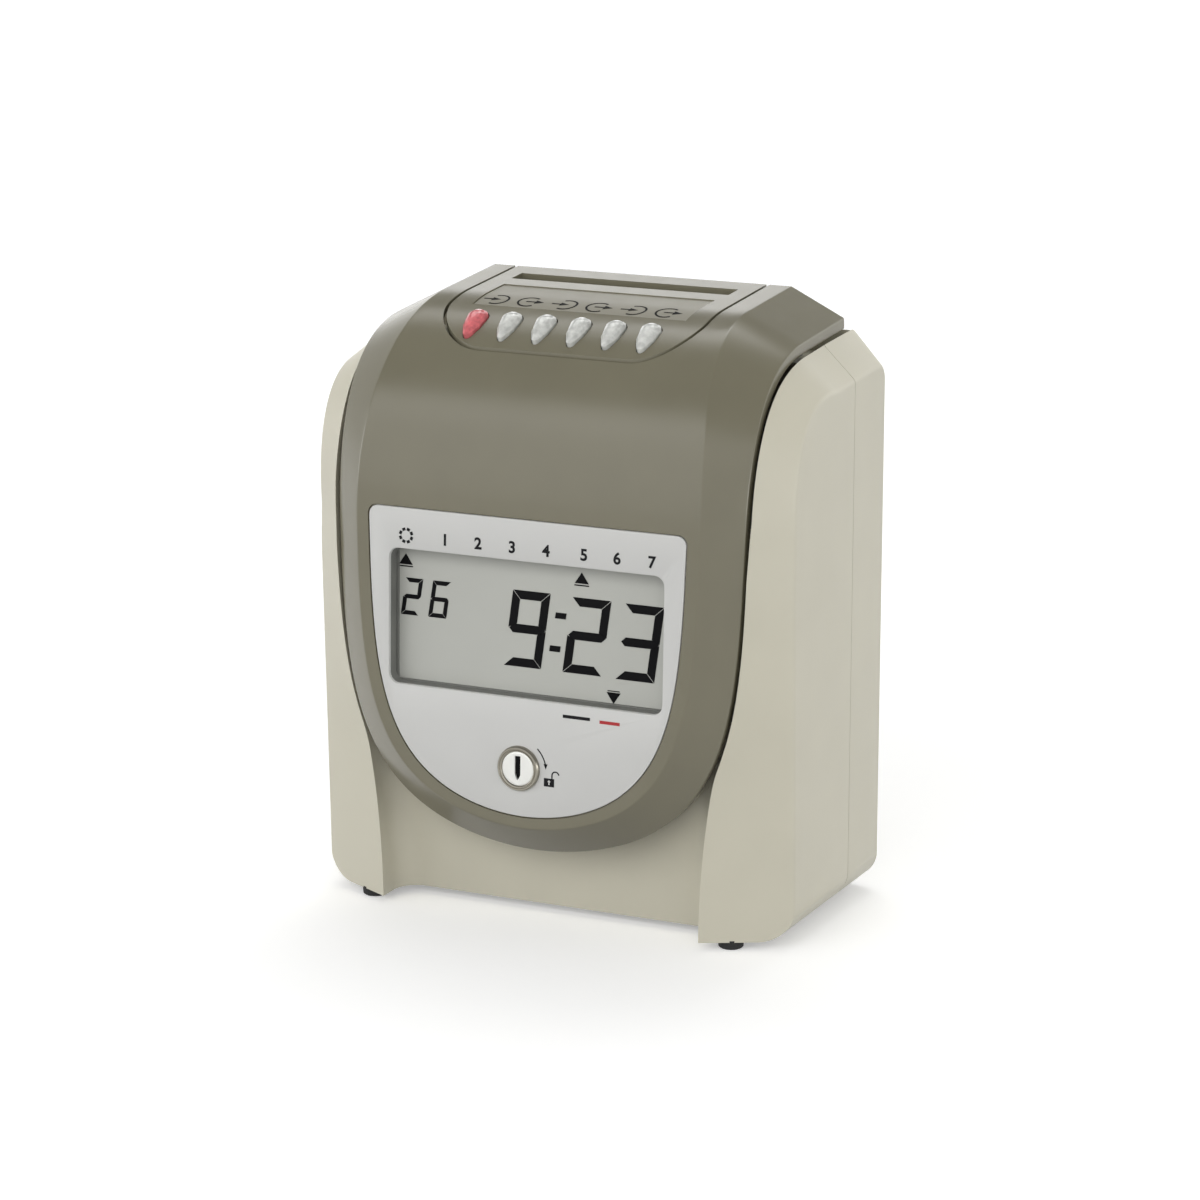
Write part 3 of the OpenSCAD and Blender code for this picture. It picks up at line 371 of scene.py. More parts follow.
def upright(name, outline, z0, z1, place=as_drawn):
    """An outline in X and Y, drawn out along Z."""
    return loft(name, [[place(x, y, z) for x, y in outline] for z in (z0, z1)])


def bar(name, outline, x0, x1):
    """An outline in Y and Z, drawn out along X."""
    return loft(name, [[(x, y, z) for y, z in outline] for x in (x0, x1)])


def block(name, start, end):
    """A box between two opposite corners."""
    return upright(name, corners(*start[:2], *end[:2]), start[Z], end[Z])


def turned(name, profile, steps, place):
    """A turned solid about local Z through a line of (radius, height)."""
    rings = [[place(r * math.cos(math.tau * i / steps), r * math.sin(math.tau * i / steps), h)
              for i in range(steps)] for r, h in profile]
    return loft(name, rings)


def combine(piece, others, how):
    """Applies solids to a piece, one after the other, and removes them."""
    for other in others:
        step = piece.modifiers.new("combine", "BOOLEAN")
        step.operation = how
        step.solver = "MANIFOLD"
        step.object = other
    held = bpy.context.evaluated_depsgraph_get()
    mesh = bpy.data.meshes.new_from_object(piece.evaluated_get(held))
    piece.modifiers.clear()
    piece.data = mesh
    mesh.name = piece.name
    for other in others:
        bpy.data.objects.remove(other)
    return piece


def cut(piece, *others):
    return combine(piece, others, "DIFFERENCE")


def join(piece, *others):
    return combine(piece, others, "UNION")


def meet(piece, *others):
    return combine(piece, others, "INTERSECT")


def smooth(piece, angle):
    """Smooth shading that leaves edges sharp above an angle in degrees."""
    piece.data.shade_smooth()
    piece.data.set_sharp_from_angle(angle=math.radians(angle))


# Materials
ROUGH_SPREAD = 0.025


def noise(nodes, links, where, scale, detail, roughness=0.5):
    node = nodes.new("ShaderNodeTexNoise")
    node.inputs["Scale"].default_value = scale
    node.inputs["Detail"].default_value = detail
    node.inputs["Roughness"].default_value = roughness
    links.new(where, node.inputs["Vector"])
    return node.outputs["Fac"]


def spread(nodes, links, fac, low, high):
    """Stretches a noise value, which lies about 0.5, to low and high."""
    node = nodes.new("ShaderNodeMapRange")
    node.inputs["From Min"].default_value = 0.3
    node.inputs["From Max"].default_value = 0.7
    node.inputs["To Min"].default_value = low
    node.inputs["To Max"].default_value = high
    links.new(fac, node.inputs["Value"])
    return node.outputs["Result"]


def material(name, colour, rough, spots, metal=0.0, grain=0.02, grain_scale=2500,
             patch_scale=35, coat=0.0, slot=None, **sockets):
    """Moulded or machined surface: soft colour patches, uneven gloss and a fine grain."""
    finish = bpy.data.materials.new(name)
    finish.use_nodes = True
    nodes = finish.node_tree.nodes
    links = finish.node_tree.links
    shader = nodes["Principled BSDF"]
    where = nodes.new("ShaderNodeTexCoord").outputs["Object"]
    patches = noise(nodes, links, where, patch_scale, 3)
    tint = nodes.new("ShaderNodeValToRGB")
    dark, light = tint.color_ramp.elements
    dark.position = 0.3
    light.position = 0.7
    dark.color = [c * (1 - spots) for c in colour] + [1]
    light.color = [min(c * (1 + spots), 1) for c in colour] + [1]
    links.new(patches, tint.inputs["Fac"])
    links.new(tint.outputs["Color"], shader.inputs["Base Color"])
    sheen = noise(nodes, links, where, patch_scale * 4, 4)
    links.new(spread(nodes, links, sheen, rough - ROUGH_SPREAD, rough + ROUGH_SPREAD),
              shader.inputs["Roughness"])
    fine = noise(nodes, links, where, grain_scale, 2, 0.6)
    bump = nodes.new("ShaderNodeBump")
    bump.inputs["Strength"].default_value = grain
    bump.inputs["Distance"].default_value = 0.0002
    links.new(fine, bump.inputs["Height"])
    links.new(bump.outputs["Normal"], shader.inputs["Normal"])
    shader.inputs["Metallic"].default_value = metal
    shader.inputs["Coat Weight"].default_value = coat
    for socket, value in sockets.items():
        shader.inputs[socket.replace("_", " ")].default_value = value
    return finish


def linear(red, green, blue):
    """Linear colour of an sRGB colour from 0 to 255."""
    parts = [c / 255 for c in (red, green, blue)]
    return [c / 12.92 if c <= 0.04045 else ((c + 0.055) / 1.055) ** 2.4 for c in parts]


beige = material("beige_plastic", linear(204, 200, 183), 0.4, spots=0.02, grain=0.05)
taupe = material("taupe_plastic", linear(119, 115, 97), 0.24, spots=0.03, grain=0.03,
                 coat=0.08, Specular_IOR_Level=0.45)
taupe_label = material("taupe_label", linear(140, 136, 121), 0.38, spots=0.03, grain=0.04)
plate_grey = material("plate_grey", linear(208, 208, 206), 0.4, spots=0.01, grain=0.02,
                      slot="grey_plate")
lcd = material("lcd", linear(186, 187, 181), 0.3, spots=0.015, grain=0.01)
segment_black = material("segment_black", linear(12, 12, 14), 0.6, spots=0.1,
                         slot="black_plastic", Specular_IOR_Level=0.08)
print_black = material("print_black", linear(30, 30, 32), 0.6, spots=0.1, slot="black_plastic",
                       Specular_IOR_Level=0.1)
# Mid grey of the display frame and of the window's lining: painted shade round the display
frame_and_shade_grey = material("frame_and_shade_grey", linear(118, 119, 115), 0.6, spots=0.05,
                      slot="black_plastic")
print_red = material("print_red", linear(170, 40, 44), 0.5, spots=0.05, slot="red_button")
label_black = material("label_black", linear(24, 24, 22), 0.6, spots=0.1, slot="black_plastic",
                       Specular_IOR_Level=0.1)
red_button = material("red_button", linear(218, 112, 117), 0.14, spots=0.26, grain=0.3,
                      grain_scale=900, patch_scale=420, coat=0.5)
clear_button = material("clear_button", linear(208, 209, 205), 0.14, spots=0.2, grain=0.3,
                        grain_scale=900, patch_scale=420, coat=0.5)
chrome = material("chrome", linear(236, 236, 232), 0.3, metal=0.35, spots=0.02)
taupe_metal = material("taupe_metal", linear(150, 146, 135), 0.3, metal=0.9, spots=0.05)
steel = material("steel", linear(178, 179, 182), 0.32, metal=1.0, spots=0.06, grain=0.05)
zinc_sheet = material("zinc_sheet", linear(168, 171, 176), 0.38, metal=1.0, spots=0.14,
                      patch_scale=180)
brass = material("brass", linear(201, 168, 96), 0.3, metal=1.0, spots=0.08)
black_plastic = material("black_plastic", linear(34, 34, 36), 0.42, spots=0.1, grain=0.1)
black_rubber = material("black_rubber", linear(24, 24, 24), 0.75, spots=0.15, grain=0.2)
white_nylon = material("white_nylon", linear(228, 226, 216), 0.45, spots=0.02)
circuit_board = material("circuit_board", linear(34, 92, 62), 0.4, spots=0.2, patch_scale=600)
motor_can = material("motor_can", linear(148, 150, 154), 0.28, metal=1.0, spots=0.06)
transformer_iron = material("transformer_iron", linear(92, 92, 96), 0.5, metal=0.7, spots=0.2)
blue_plastic = material("blue_plastic", linear(64, 104, 168), 0.35, spots=0.05)
ribbon_fabric = material("ribbon_fabric", linear(96, 26, 34), 0.8, spots=0.2, grain=0.3,
                         patch_scale=900)

node_finishes = {
    black_rubber: ["rubber_feet", "feed_rollers", "pinch_rollers", "platen_bar"],
    steel: ["casing_screws", "hinge_pins", "carriage_rod", "feed_shaft", "pinch_shaft",
            "lock_nut", "lock_cam", "lock_strike"],
    zinc_sheet: ["base_plate", "chassis_plates", "hinge_brackets", "card_guide_front",
                 "card_guide_rear", "cartridge_tray"],
    frame_and_shade_grey: ["display_frame"],
    black_plastic: ["card_stop", "board_parts", "button_switches", "buzzer",
                    "power_inlet", "carriage", "print_head", "ribbon_cartridge"],
    circuit_board: ["main_board", "display_board", "button_board"],
    lcd: ["display_glass"],
    transformer_iron: ["transformer"],
    blue_plastic: ["backup_battery", "ribbon_knob"],
    motor_can: ["feed_motor", "carriage_motor"],
    brass: ["shaft_bushes"],
    white_nylon: ["feed_gear", "motor_pinion", "screw_gear", "carriage_pinion"],
    ribbon_fabric: ["ribbon_band"],
}
for finish, names in node_finishes.items():
    for name in names:
        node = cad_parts[name]
        node.data.materials.clear()
        node.data.materials.append(finish)


def dress(piece, finish, body, nodes=()):
    """Gives a finished piece its material, its body and the nodes it stands for."""
    piece.data.materials.clear()
    piece.data.materials.append(finish)
    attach(piece, body)
    if nodes:
        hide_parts(*nodes)


# Casing: a flat side wall, a sloping facet and the front between them
TOP_SINK = BEVEL_H + LIP + 0.2
PILLAR_Y = box_low("front_casing", Y)
PILLAR_LOW_X = 64.6
PILLAR_FLARE = 0.0013
PILLAR_FLARE_Z = 72
PILLAR_CURVE_Z = 141
PILLAR_STRAIGHT_Z = 160
PILLAR_LAP = 0.3
RIM_DEPTH = 9
REAR_ROUND = 6
REAR_BEVEL = 2.5
EDGE_ROUND = 1.3
EDGE_STEPS = 6
SHOULDER_LIFT = 0.35


def smooth_max(a, b, k):
    return (a + b + math.sqrt((a - b) ** 2 + k * k)) / 2


def pillar_x(z):
    upper = u_x(z, -COVER_GAP) if z > u_low(0) else 0
    lower = PILLAR_LOW_X + PILLAR_FLARE * min(z, PILLAR_FLARE_Z) ** 2
    return smooth_max(upper, lower, 1.5)


def casing_loop(depth, side, extra=0):
    """The casing's outline in Y and Z, sunk by depth, in the plane of the side wall or the front."""
    bevel = CASING_BEVEL if side else 0
    sink = depth + extra + bevel
    rear = REAR_Y - depth - extra - (REAR_BEVEL if side else 0)
    front = PILLAR_Y + depth + extra
    up = over(1.9, TOP_SINK + sink)[1]
    points = []
    for z in [FLOOR_Z + depth + extra] + [mix(10, 145, i / 18) for i in range(18)]:
        lean = max(FACE_LEAN * (FACE_ZERO_Z - z), 0)
        points.append((front + (CASING_BEVEL + lean if side else 0), z))
    for i in range(37):
        t = i / 36
        lift = bevel * SHOULDER_LIFT * math.sin(math.pi * t)
        points.append(tuple(over(t, mix(PILLAR_Y, TOP_SINK, ease(t)) + sink - lift)))
    points.append(tuple(over(1.5, TOP_SINK + sink)))
    r = REAR_ROUND - extra
    points += arc((rear - r, up - r), r, 90, 0, 8)
    points.append((rear, FLOOR_Z + depth + extra))
    return points


def rounded_edge(before, edge, after):
    """Rings that round the edge between a ring before it and a ring after it."""
    rings = []
    for k in range(EDGE_STEPS + 1):
        t = k / EDGE_STEPS
        ring = []
        for p, q, s in zip(before, edge, after):
            q = Vector(q)
            start = q + (Vector(p) - q).normalized() * EDGE_ROUND
            end = q + (Vector(s) - q).normalized() * EDGE_ROUND
            ring.append(tuple((1 - t) ** 2 * start + 2 * t * (1 - t) * q + t * t * end))
        rings.append(ring)
    return rings


def casing_solid(name, depth, soft):
    """The casing's full body, without its hollow, with soft or sharp side edges."""
    x = SIDE_X - depth
    outer = [(x, y, z) for y, z in casing_loop(depth, True)]
    inner = [(pillar_x(z) - PILLAR_LAP, y, z) for y, z in casing_loop(depth, False)]
    rings = [outer]
    if soft:
        flat = [(x, y, z) for y, z in casing_loop(depth, True, EDGE_ROUND)]
        rings = rounded_edge(flat, outer, inner)
    rings.append(inner)
    rings = [[(-px, y, z) for px, y, z in ring] for ring in rings] + rings[::-1]
    body = loft(name, rings)
    outline = (arc((SIDE_X - BASE_R, FLOOR_Z + BASE_R), BASE_R - depth, 0, -90, 16)
               + arc((-SIDE_X + BASE_R, FLOOR_Z + BASE_R), BASE_R - depth, -90, -180, 16)
               + [(-SIDE_X + depth, BIG), (SIDE_X - depth, BIG)])
    return meet(body, prism("rounding", outline, -BIG, BIG))


def pillar_prism(name, grow, y0, y1):
    """The space between the pillars, widened by grow and drawn out along Y."""
    steps = [mix(FLOOR_Z, PILLAR_CURVE_Z, i / 60) for i in range(61)]
    edge = COVER_X + COVER_GAP + grow
    right = [(pillar_x(FLOOR_Z) + grow, -BIG / 3)]
    right += [(pillar_x(z) + grow, z) for z in steps]
    right += [(edge, PILLAR_STRAIGHT_Z), (edge, BIG)]
    return prism(name, right + [(-x, z) for x, z in right[::-1]], y0, y1)


# Lower front wall between the pillars
WALL_FOOT_Y = 28
WALL_TOP_Y = 20
WALL_TOP_Z = 58
WALL_FLAT = 0.86
WALL_FILLET = 9
CHEEK_TOP_Z = 84
CHEEK_X = 54


def wall_y(z):
    return mix(WALL_FOOT_Y, WALL_TOP_Y, min((z - FLOOR_Z) / (WALL_TOP_Z - FLOOR_Z), 1))


def wall_place(v, z):
    """A place on the wall; v is -1 at the left pillar and 1 at the right one."""
    x = pillar_x(z)
    d = max(WALL_FILLET - (x - abs(v) * x), 0) / WALL_FILLET
    return (v * x, wall_y(z) - WALL_FILLET * (1 - math.sqrt(max(1 - d * d, 0))), z)


def lower_wall():
    """Wall between the pillars that curves into them, with a cheek at each end."""
    near = [mix(1, WALL_FLAT, 1 - math.sin(math.pi / 2 * i / 16)) for i in range(17)]
    steps = [-v for v in near[::-1]]
    steps += [mix(-WALL_FLAT, WALL_FLAT, i / 12) for i in range(1, 12)]
    steps += near
    rows = [mix(CHEEK_TOP_Z, WALL_TOP_Z, i / 8) for i in range(8)]
    rows += [mix(WALL_TOP_Z, FLOOR_Z, i / 12) for i in range(13)]
    rings = []
    for z in rows:
        ring = [wall_place(v, z) for v in steps]
        ring += [(x, y + CASING_T, z) for x, y, z in ring[::-1]]
        rings.append(ring)
    wall = loft("lower_wall", rings)
    return cut(wall, block("over_wall", (-CHEEK_X, 0, WALL_TOP_Z),
                           (CHEEK_X, WALL_FOOT_Y + 3, CHEEK_TOP_Z + 1)))


def floor_block():
    x = PILLAR_LOW_X + CASING_T
    return block("floor_block", (-x, WALL_FOOT_Y, FLOOR_Z - 1),
                 (x, REAR_Y - CASING_T, FLOOR_Z + CASING_T))


def casing_skin(name):
    """The casing's wall, the thick edges of its pillars and its floor."""
    rim = pillar_prism("rim", CASING_T, -BIG, REAR_Y - CASING_T)
    cut(rim, block("rim_low", (-BIG, WALL_FOOT_Y, -BIG), (BIG, BIG, WALL_TOP_Z)),
        casing_solid("deep_hollow", RIM_DEPTH, False))
    hollow = casing_solid("hollow", CASING_T, False)
    cut(hollow, rim, floor_block())
    opening = pillar_prism("opening", 0, -BIG, REAR_Y - CASING_T)
    cut(opening, floor_block())
    return cut(casing_solid(name, 0, True), hollow, opening)


front_skin = casing_skin("front_skin")
rear_skin = front_skin.copy()
rear_skin.data = front_skin.data.copy()
rear_skin.name = "rear_skin"
bpy.context.scene.collection.objects.link(rear_skin)
meet(front_skin, block("before_seam", (-BIG, -BIG, -BIG), (BIG, SEAM_Y, BIG)))
meet(rear_skin, block("behind_seam", (-BIG, SEAM_Y + SEAM_GAP, -BIG), (BIG, BIG, BIG)))
join(front_skin, lower_wall())

BRACKET_X = 45
BRACKET_Z = (70, 170)
BRACKET_R = 2.1
INLET_GAP = 0.2
INLET_CORNER = 0.8
CASING_SCREW_R = 3.5
CASING_SCREW_SINK = 1.4
CASING_SCREWS = ((82, 32), (82, 176))


def rod_y(name, r, y0, y1, x, z, sides=40, place=as_drawn):
    """A round rod along Y."""
    return prism(name, circle((x, z), r, sides), y0, y1, place)


holes = [rod_y("hole", BRACKET_R, REAR_Y - 4, REAR_Y + 1, side * BRACKET_X, z)
         for side in (-1, 1) for z in BRACKET_Z]
holes += [rod_y("hole", CASING_SCREW_R, REAR_Y - CASING_SCREW_SINK, REAR_Y + 1, side * x, z)
          for side in (-1, 1) for x, z in CASING_SCREWS]
inlet = round_rect(box_low("power_inlet", X) - INLET_GAP, box_low("power_inlet", Z) - INLET_GAP,
                   box_high("power_inlet", X) + INLET_GAP, box_high("power_inlet", Z) + INLET_GAP,
                   INLET_CORNER)
holes.append(prism("hole", inlet, REAR_Y - 4, REAR_Y + 1))
cut(rear_skin, *holes)
for side in (-1, 1):
    x0, x1 = sorted((side * HINGE_SPACE_X[0], side * (COVER_X + COVER_GAP + CASING_T)))
    join(rear_skin, block("ledge", (x0, LEDGE_Y, LEDGE_Z - CASING_T),
                          (x1, REAR_Y - CASING_T + 0.2, LEDGE_Z)))
for skin, node in ((front_skin, "front_casing"), (rear_skin, "rear_casing")):
    smooth(skin, 30)
    dress(skin, beige, "casing", [node])

# Cover: sections across the outline's edge, each a line of inset and depth
SECTION_STEPS = 6
BEVEL_MITRE = 0.42


def lip_at(a, z):
    """Reach of the rim behind the bevel: to the lower wall at the foot, LIP at the sides."""
    return mix(wall_y(z) - WALL_CLEAR - face_y(z) - BEVEL_H, LIP, ease((a - 25) / 32))


def cover_section(width, deep, inset):
    """Line of inset and depth from the rim, over the bevel, to the flat."""
    mitre = BEVEL_MITRE * inset
    flat = width + mitre
    line = [(inset, deep), (inset, BEVEL_H + mitre), (flat, inset), (flat + 4, inset)]
    if inset:
        return rounded_line(line, (1, 1.5), SECTION_STEPS)
    rim = [(0.6, deep)] + line
    return rounded_line(rim, (0.5, 0.9, 1.6), SECTION_STEPS)


def cover_solid(name, inset, extra, rear_u):
    """The cover's full body, drawn in by inset, from the rear of the arms to its lowest edge."""
    rings = []
    for u in even_steps(lambda t: over(t, 0), rear_u, 0, 64)[:-1]:
        width = mix(BEVEL_W, BEVEL_TOP_W, ease(u))
        z = over(u, 0)[1]
        half = []
        for s, d in cover_section(width, BEVEL_H + LIP + extra, inset):
            y, height = over(u, d)
            half.append((u_x(z, s), y, height))
        rings.append(half)
    for a in even_steps(lambda t: u_place(t, 0), U_SIDE, 0, 72):
        deep = BEVEL_H + lip_at(a, u_place(a, inset)[1]) + extra
        half = []
        for s, d in cover_section(BEVEL_W, deep, inset):
            x, z = u_place(a, s)
            half.append((x, face_y(z) + d, z))
        rings.append(half)
    rings = [[(-x, y, z) for x, y, z in half] + half[::-1] for half in rings]
    return loft(name, rings, capped=False)


def panel_outline(grow, rear):
    return ([(PANEL_X + grow, rear), (-PANEL_X - grow, rear)]
            + arc((-PANEL_X + PANEL_R, PANEL_FRONT_Y + PANEL_R), PANEL_R + grow, 180, 270, 24)
            + arc((PANEL_X - PANEL_R, PANEL_FRONT_Y + PANEL_R), PANEL_R + grow, 270, 360, 24))


PLATE_INSET = COVER_X - PLATE_X
PLATE_SIDE = u_angle(PLATE_TOP_Z - PLATE_STRAIGHT, PLATE_INSET)


def plate_outline(grow):
    """The faceplate's outline: it follows the cover's and has a straight top."""
    low = []
    for i in range(71):
        x, z = u_place(PLATE_SIDE * i / 70, PLATE_INSET)
        out = unit((x, -max(PLATE_TURN - (z - u_low(PLATE_INSET)), 0)))
        low.append((x + grow * out[0], z + grow * out[1]))
    edge = u_x(PLATE_TOP_Z, PLATE_INSET) + grow
    top = PLATE_TOP_Z + grow
    right = low + arc((edge - PLATE_CORNER, top - PLATE_CORNER), PLATE_CORNER, 0, 90, 10)
    return right + [(-x, z) for x, z in right[:0:-1]]


def window_outline(grow):
    return round_rect(-WINDOW_X - grow, WINDOW_LOW_Z - grow, WINDOW_X + grow,
                      WINDOW_HIGH_Z + grow, WINDOW_R + grow)


cover_skin = cover_solid("cover_skin", 0, 0, 2)
cut(cover_skin, cover_solid("cover_hollow", COVER_T, 6, 2 - COVER_T / TOP_RUN[0]))
notches = []
for side in (-1, 1):
    x0, x1 = sorted(side * x for x in HINGE_SPACE_X)
    notches.append(block("notch", (x0, HINGE_Y, CHASSIS_TOP_Z), (x1, REAR_Y, HINGE_Z + NOTCH_UP)))
cut(cover_skin, upright("opening", panel_outline(PANEL_GAP + SEAM_WEAR, BIG), TOP_Z - 45, BIG),
    *notches)
cut(cover_skin, prism("plate_seat", plate_outline(PLATE_GAP + PLATE_WEAR), -3, PLATE_T, on_face),
    prism("window", window_outline(TUBE_T + TUBE_GAP), -3, 12, on_face),
    rod_y("lock_hole", LOCK_BODY_R + LOCK_GAP, -3, 12, LOCK_X, LOCK_Z, 60, on_face))
for side in (-1, 1):
    x0, x1 = sorted(side * x for x in HINGE_X)
    knuckle = bar("knuckle", circle((HINGE_Y, HINGE_Z), HINGE_R, 48), x0, x1)
    join(knuckle, block("lug", (x0, HINGE_Y - HINGE_R, HINGE_Z),
                        (x1, HINGE_Y + HINGE_R, over(1.7, 0.75 * COVER_T)[1])))
    cut(knuckle, bar("pin_hole", circle((HINGE_Y, HINGE_Z), HINGE_BORE_R, 48), x0 - 1, x1 + 1))
    join(cover_skin, knuckle)
smooth(cover_skin, 30)
dress(cover_skin, taupe, "cover", ["cover_shell"])

# Faceplate with a softly rounded rim and the tube round its window
plate = loft("face_plate", [[on_face(x, y, z) for x, z in plate_outline(grow)]
                            for grow, y in ((-0.3, 0.0), (-0.12, 0.06), (0, 0.3), (0, PLATE_T))])
join(plate, prism("tube", window_outline(TUBE_T), 0.3, WINDOW_DEEP, on_face))
cut(plate, prism("window", window_outline(0), 0.4, WINDOW_DEEP + 1, on_face),
    loft("window_rim", [[on_face(x, y, z) for x, z in window_outline(grow)]
                        for grow, y in ((0.5, -0.5), (0.45, 0), (0.15, 0.12), (0, 0.45))]),
    rod_y("lock_hole", LOCK_BODY_R + LOCK_GAP, -1, 6, LOCK_X, LOCK_Z, 60, on_face))
smooth(plate, 30)
dress(plate, plate_grey, "cover", ["faceplate"])


# Thin flat shapes for the display's digits, the printing and the signs
def flat_shapes(name, outlines, front, back, place):
    """Thin plates between two depths, all in one piece."""
    points = []
    faces = []
    for outline in outlines:
        n = len(outline)
        k = len(points)
        points += [place(x, front, z) for x, z in outline]
        points += [place(x, back, z) for x, z in outline]
        faces.append(tuple(range(k, k + n)))
        faces.append(tuple(range(k + 2 * n - 1, k + n - 1, -1)))
        faces += [(k + i, k + (i + 1) % n, k + n + (i + 1) % n, k + n + i) for i in range(n)]
    return new_piece(name, points, faces)


def stroke(line, width):
    """Outline of a stroke of even width along an open line."""
    left = []
    right = []
    for i, p in enumerate(line):
        a = line[max(i - 1, 0)]
        b = line[min(i + 1, len(line) - 1)]
        dx, dz = unit((b[0] - a[0], b[1] - a[1]))
        left.append((p[0] - dz * width / 2, p[1] + dx * width / 2))
        right.append((p[0] + dz * width / 2, p[1] - dx * width / 2))
    return left + right[::-1]


# Grey sheet over the walls of the window's tube: painted shade round the display
shade_sheet = prism("window_shade_sheet", window_outline(0), PLATE_T + 0.2, WINDOW_DEEP - 0.1, on_face)
cut(shade_sheet, prism("window_core", window_outline(-0.2), 0, WINDOW_DEEP + 1, on_face))
dress(shade_sheet, frame_and_shade_grey, "cover")

# Seven-segment digits with mitred ends
SEGMENTS = {2: "abged", 3: "abgcd", 6: "afgecd", 9: "abfgcd"}


def digit(number, x, z, width, height, weight, lean, gap):
    """Outlines of one digit whose lower left corner is at x, z."""
    middle = height / 2
    g = gap / 2
    w = weight
    half = w / 2
    shapes = {
        "a": [(g, height), (width - g, height), (width - w - g, height - w),
              (w + g, height - w)],
        "d": [(g, 0), (w + g, w), (width - w - g, w), (width - g, 0)],
        "g": [(g + 0.2, middle), (half + g + 0.2, middle + half), (width - half - g, middle + half),
              (width - g, middle), (width - half - g, middle - half),
              (half + g + 0.2, middle - half)],
        "f": [(0, height - g), (w, height - w - g), (w, middle + half + g), (0, middle + g)],
        "b": [(width, height - g), (width, middle + g), (width - w, middle + half + g),
              (width - w, height - w - g)],
        "e": [(0, middle - g), (w, middle - half - g), (w, w + g), (0, g)],
        "c": [(width, middle - g), (width, g), (width - w, w + g),
              (width - w, middle - half - g)],
    }
    return [[(x + px + lean * pz, z + pz) for px, pz in shapes[s]] for s in SEGMENTS[number]]


TIME_STYLE = {"weight": 3.25, "lean": 0.13, "gap": 0.35}
DATE_STYLE = {"weight": 1.6, "lean": 0.15, "gap": 0.25}
digits = []
digits += digit(9, -11.7, 99.9, 15.1, 28.4, **TIME_STYLE)
digits += digit(2, 12.1, 99.9, 15.5, 28.1, **TIME_STYLE)
digits += digit(3, 33.1, 99.7, 15.4, 28.1, **TIME_STYLE)
digits += digit(2, -54, 114.4, 7.2, 13.9, **DATE_STYLE)
digits += digit(6, -42.7, 114.5, 7.4, 13.8, **DATE_STYLE)
# The two dots between hours and minutes
for x, z in ((8.9, 119.4), (6.7, 107.0)):
    digits.append([(x, z), (x + 4.3, z), (x + 4.6, z + 2.2), (x + 0.3, z + 2.2)])
# Underlined pointers up to the ring and a day, and one down to the colour bars
for x, z in ((-51.9, 133.2), (19.4, 133.2)):
    digits.append([(x - 2.8, z), (x + 2.8, z), (x, z + 4.1)])
    digits.append(corners(x - 2.9, z - 0.9, x + 2.9, z - 0.45))
digits.append([(29.8, 94.5), (35.4, 94.5), (32.6, 90.4)])
digits.append(corners(30.2, 94.85, 35.0, 95.2))
segments = flat_shapes("display_digits", digits, GLASS_DEPTH - 0.12, GLASS_DEPTH, on_face)
dress(segments, segment_black, "casing")


# Printing on the faceplate: day numbers, ring of dashes, colour bars, arrow and padlock
PRINT_H = 0.06
PRINT_SINK = 0.02
DAY_X = (-32.1, -18.7, -5, 8.6, 23.6, 36.6, 50.2)
DAY_Z = 143.5
DAY_SIZE = 5.9
DASH_COUNT = 8
DASH_LEN = 1.3
DASH_RING = (-48, 145.6)
DASH_RING_R = 2.4


def face_number(name, text, x, z, size):
    """A plain number in flat raised shapes on the face, centred on x, standing on z."""
    curve = bpy.data.curves.new(name, "FONT")
    curve.body = text
    curve.size = size
    curve.align_x = "CENTER"
    curve.extrude = PRINT_H / 2
    curve.offset = 0.03 * size
    curve.resolution_u = 6
    holder = bpy.data.objects.new(name, curve)
    bpy.context.scene.collection.objects.link(holder)
    held = bpy.context.evaluated_depsgraph_get()
    mesh = bpy.data.meshes.new_from_object(holder.evaluated_get(held))
    bpy.data.objects.remove(holder)
    points = [on_face(x + v.co.x, -PRINT_H / 2 - v.co.z, z + v.co.y) for v in mesh.vertices]
    faces = [tuple(p.vertices) for p in mesh.polygons]
    bpy.data.meshes.remove(mesh)
    return new_piece(name, points, faces)


for i, x in enumerate(DAY_X):
    dress(face_number(f"day_{i + 1}", str(i + 1), x, DAY_Z, DAY_SIZE), print_black, "cover")
signs = []
for k in range(DASH_COUNT):
    turn = math.tau * (k + 0.5) / DASH_COUNT
    x = DASH_RING[0] + DASH_RING_R * math.cos(turn)
    z = DASH_RING[1] + DASH_RING_R * math.sin(turn)
    run_x = -DASH_LEN / 2 * math.sin(turn)
    run_z = DASH_LEN / 2 * math.cos(turn)
    signs.append(stroke([(x - run_x, z - run_z), (x + run_x, z + run_z)], 1.1))
signs.append(corners(16, 84.9, 26.8, 86.1))
# Arrow round the lock to an open padlock
sweep = arc((LOCK_X, LOCK_Z), 10.9, 48, 12, 12)
signs.append(stroke(sweep, 0.45))
x, z = sweep[-1]
signs.append([(x - 0.75, z + 0.5), (x + 0.8, z + 0.5), (x + 0.1, z - 1.5)])
signs.append(corners(8.7, 58.5, 12.8, 61.6))
signs.append(stroke([(11.9, 61.6), (11.9, 62.7)] + arc((13.3, 62.9), 1.4, 180, 10, 12), 0.5))
plate_signs = flat_shapes("plate_signs", signs, -PRINT_H, PRINT_SINK, on_face)
dress(plate_signs, print_black, "cover")
keyhole = [circle((10.75, 60.4), 0.5, 24),
           [(10.5, 59.2), (11.0, 59.2), (10.95, 60.3), (10.55, 60.3)]]
dress(flat_shapes("padlock_keyhole", keyhole, -PRINT_H - 0.03, -PRINT_H, on_face),
      plate_grey, "cover")
red_bar = corners(30.6, 84.4, 38.6, 85.6)
dress(flat_shapes("red_colour_bar", [red_bar], -PRINT_H, PRINT_SINK, on_face),
      print_red, "cover")


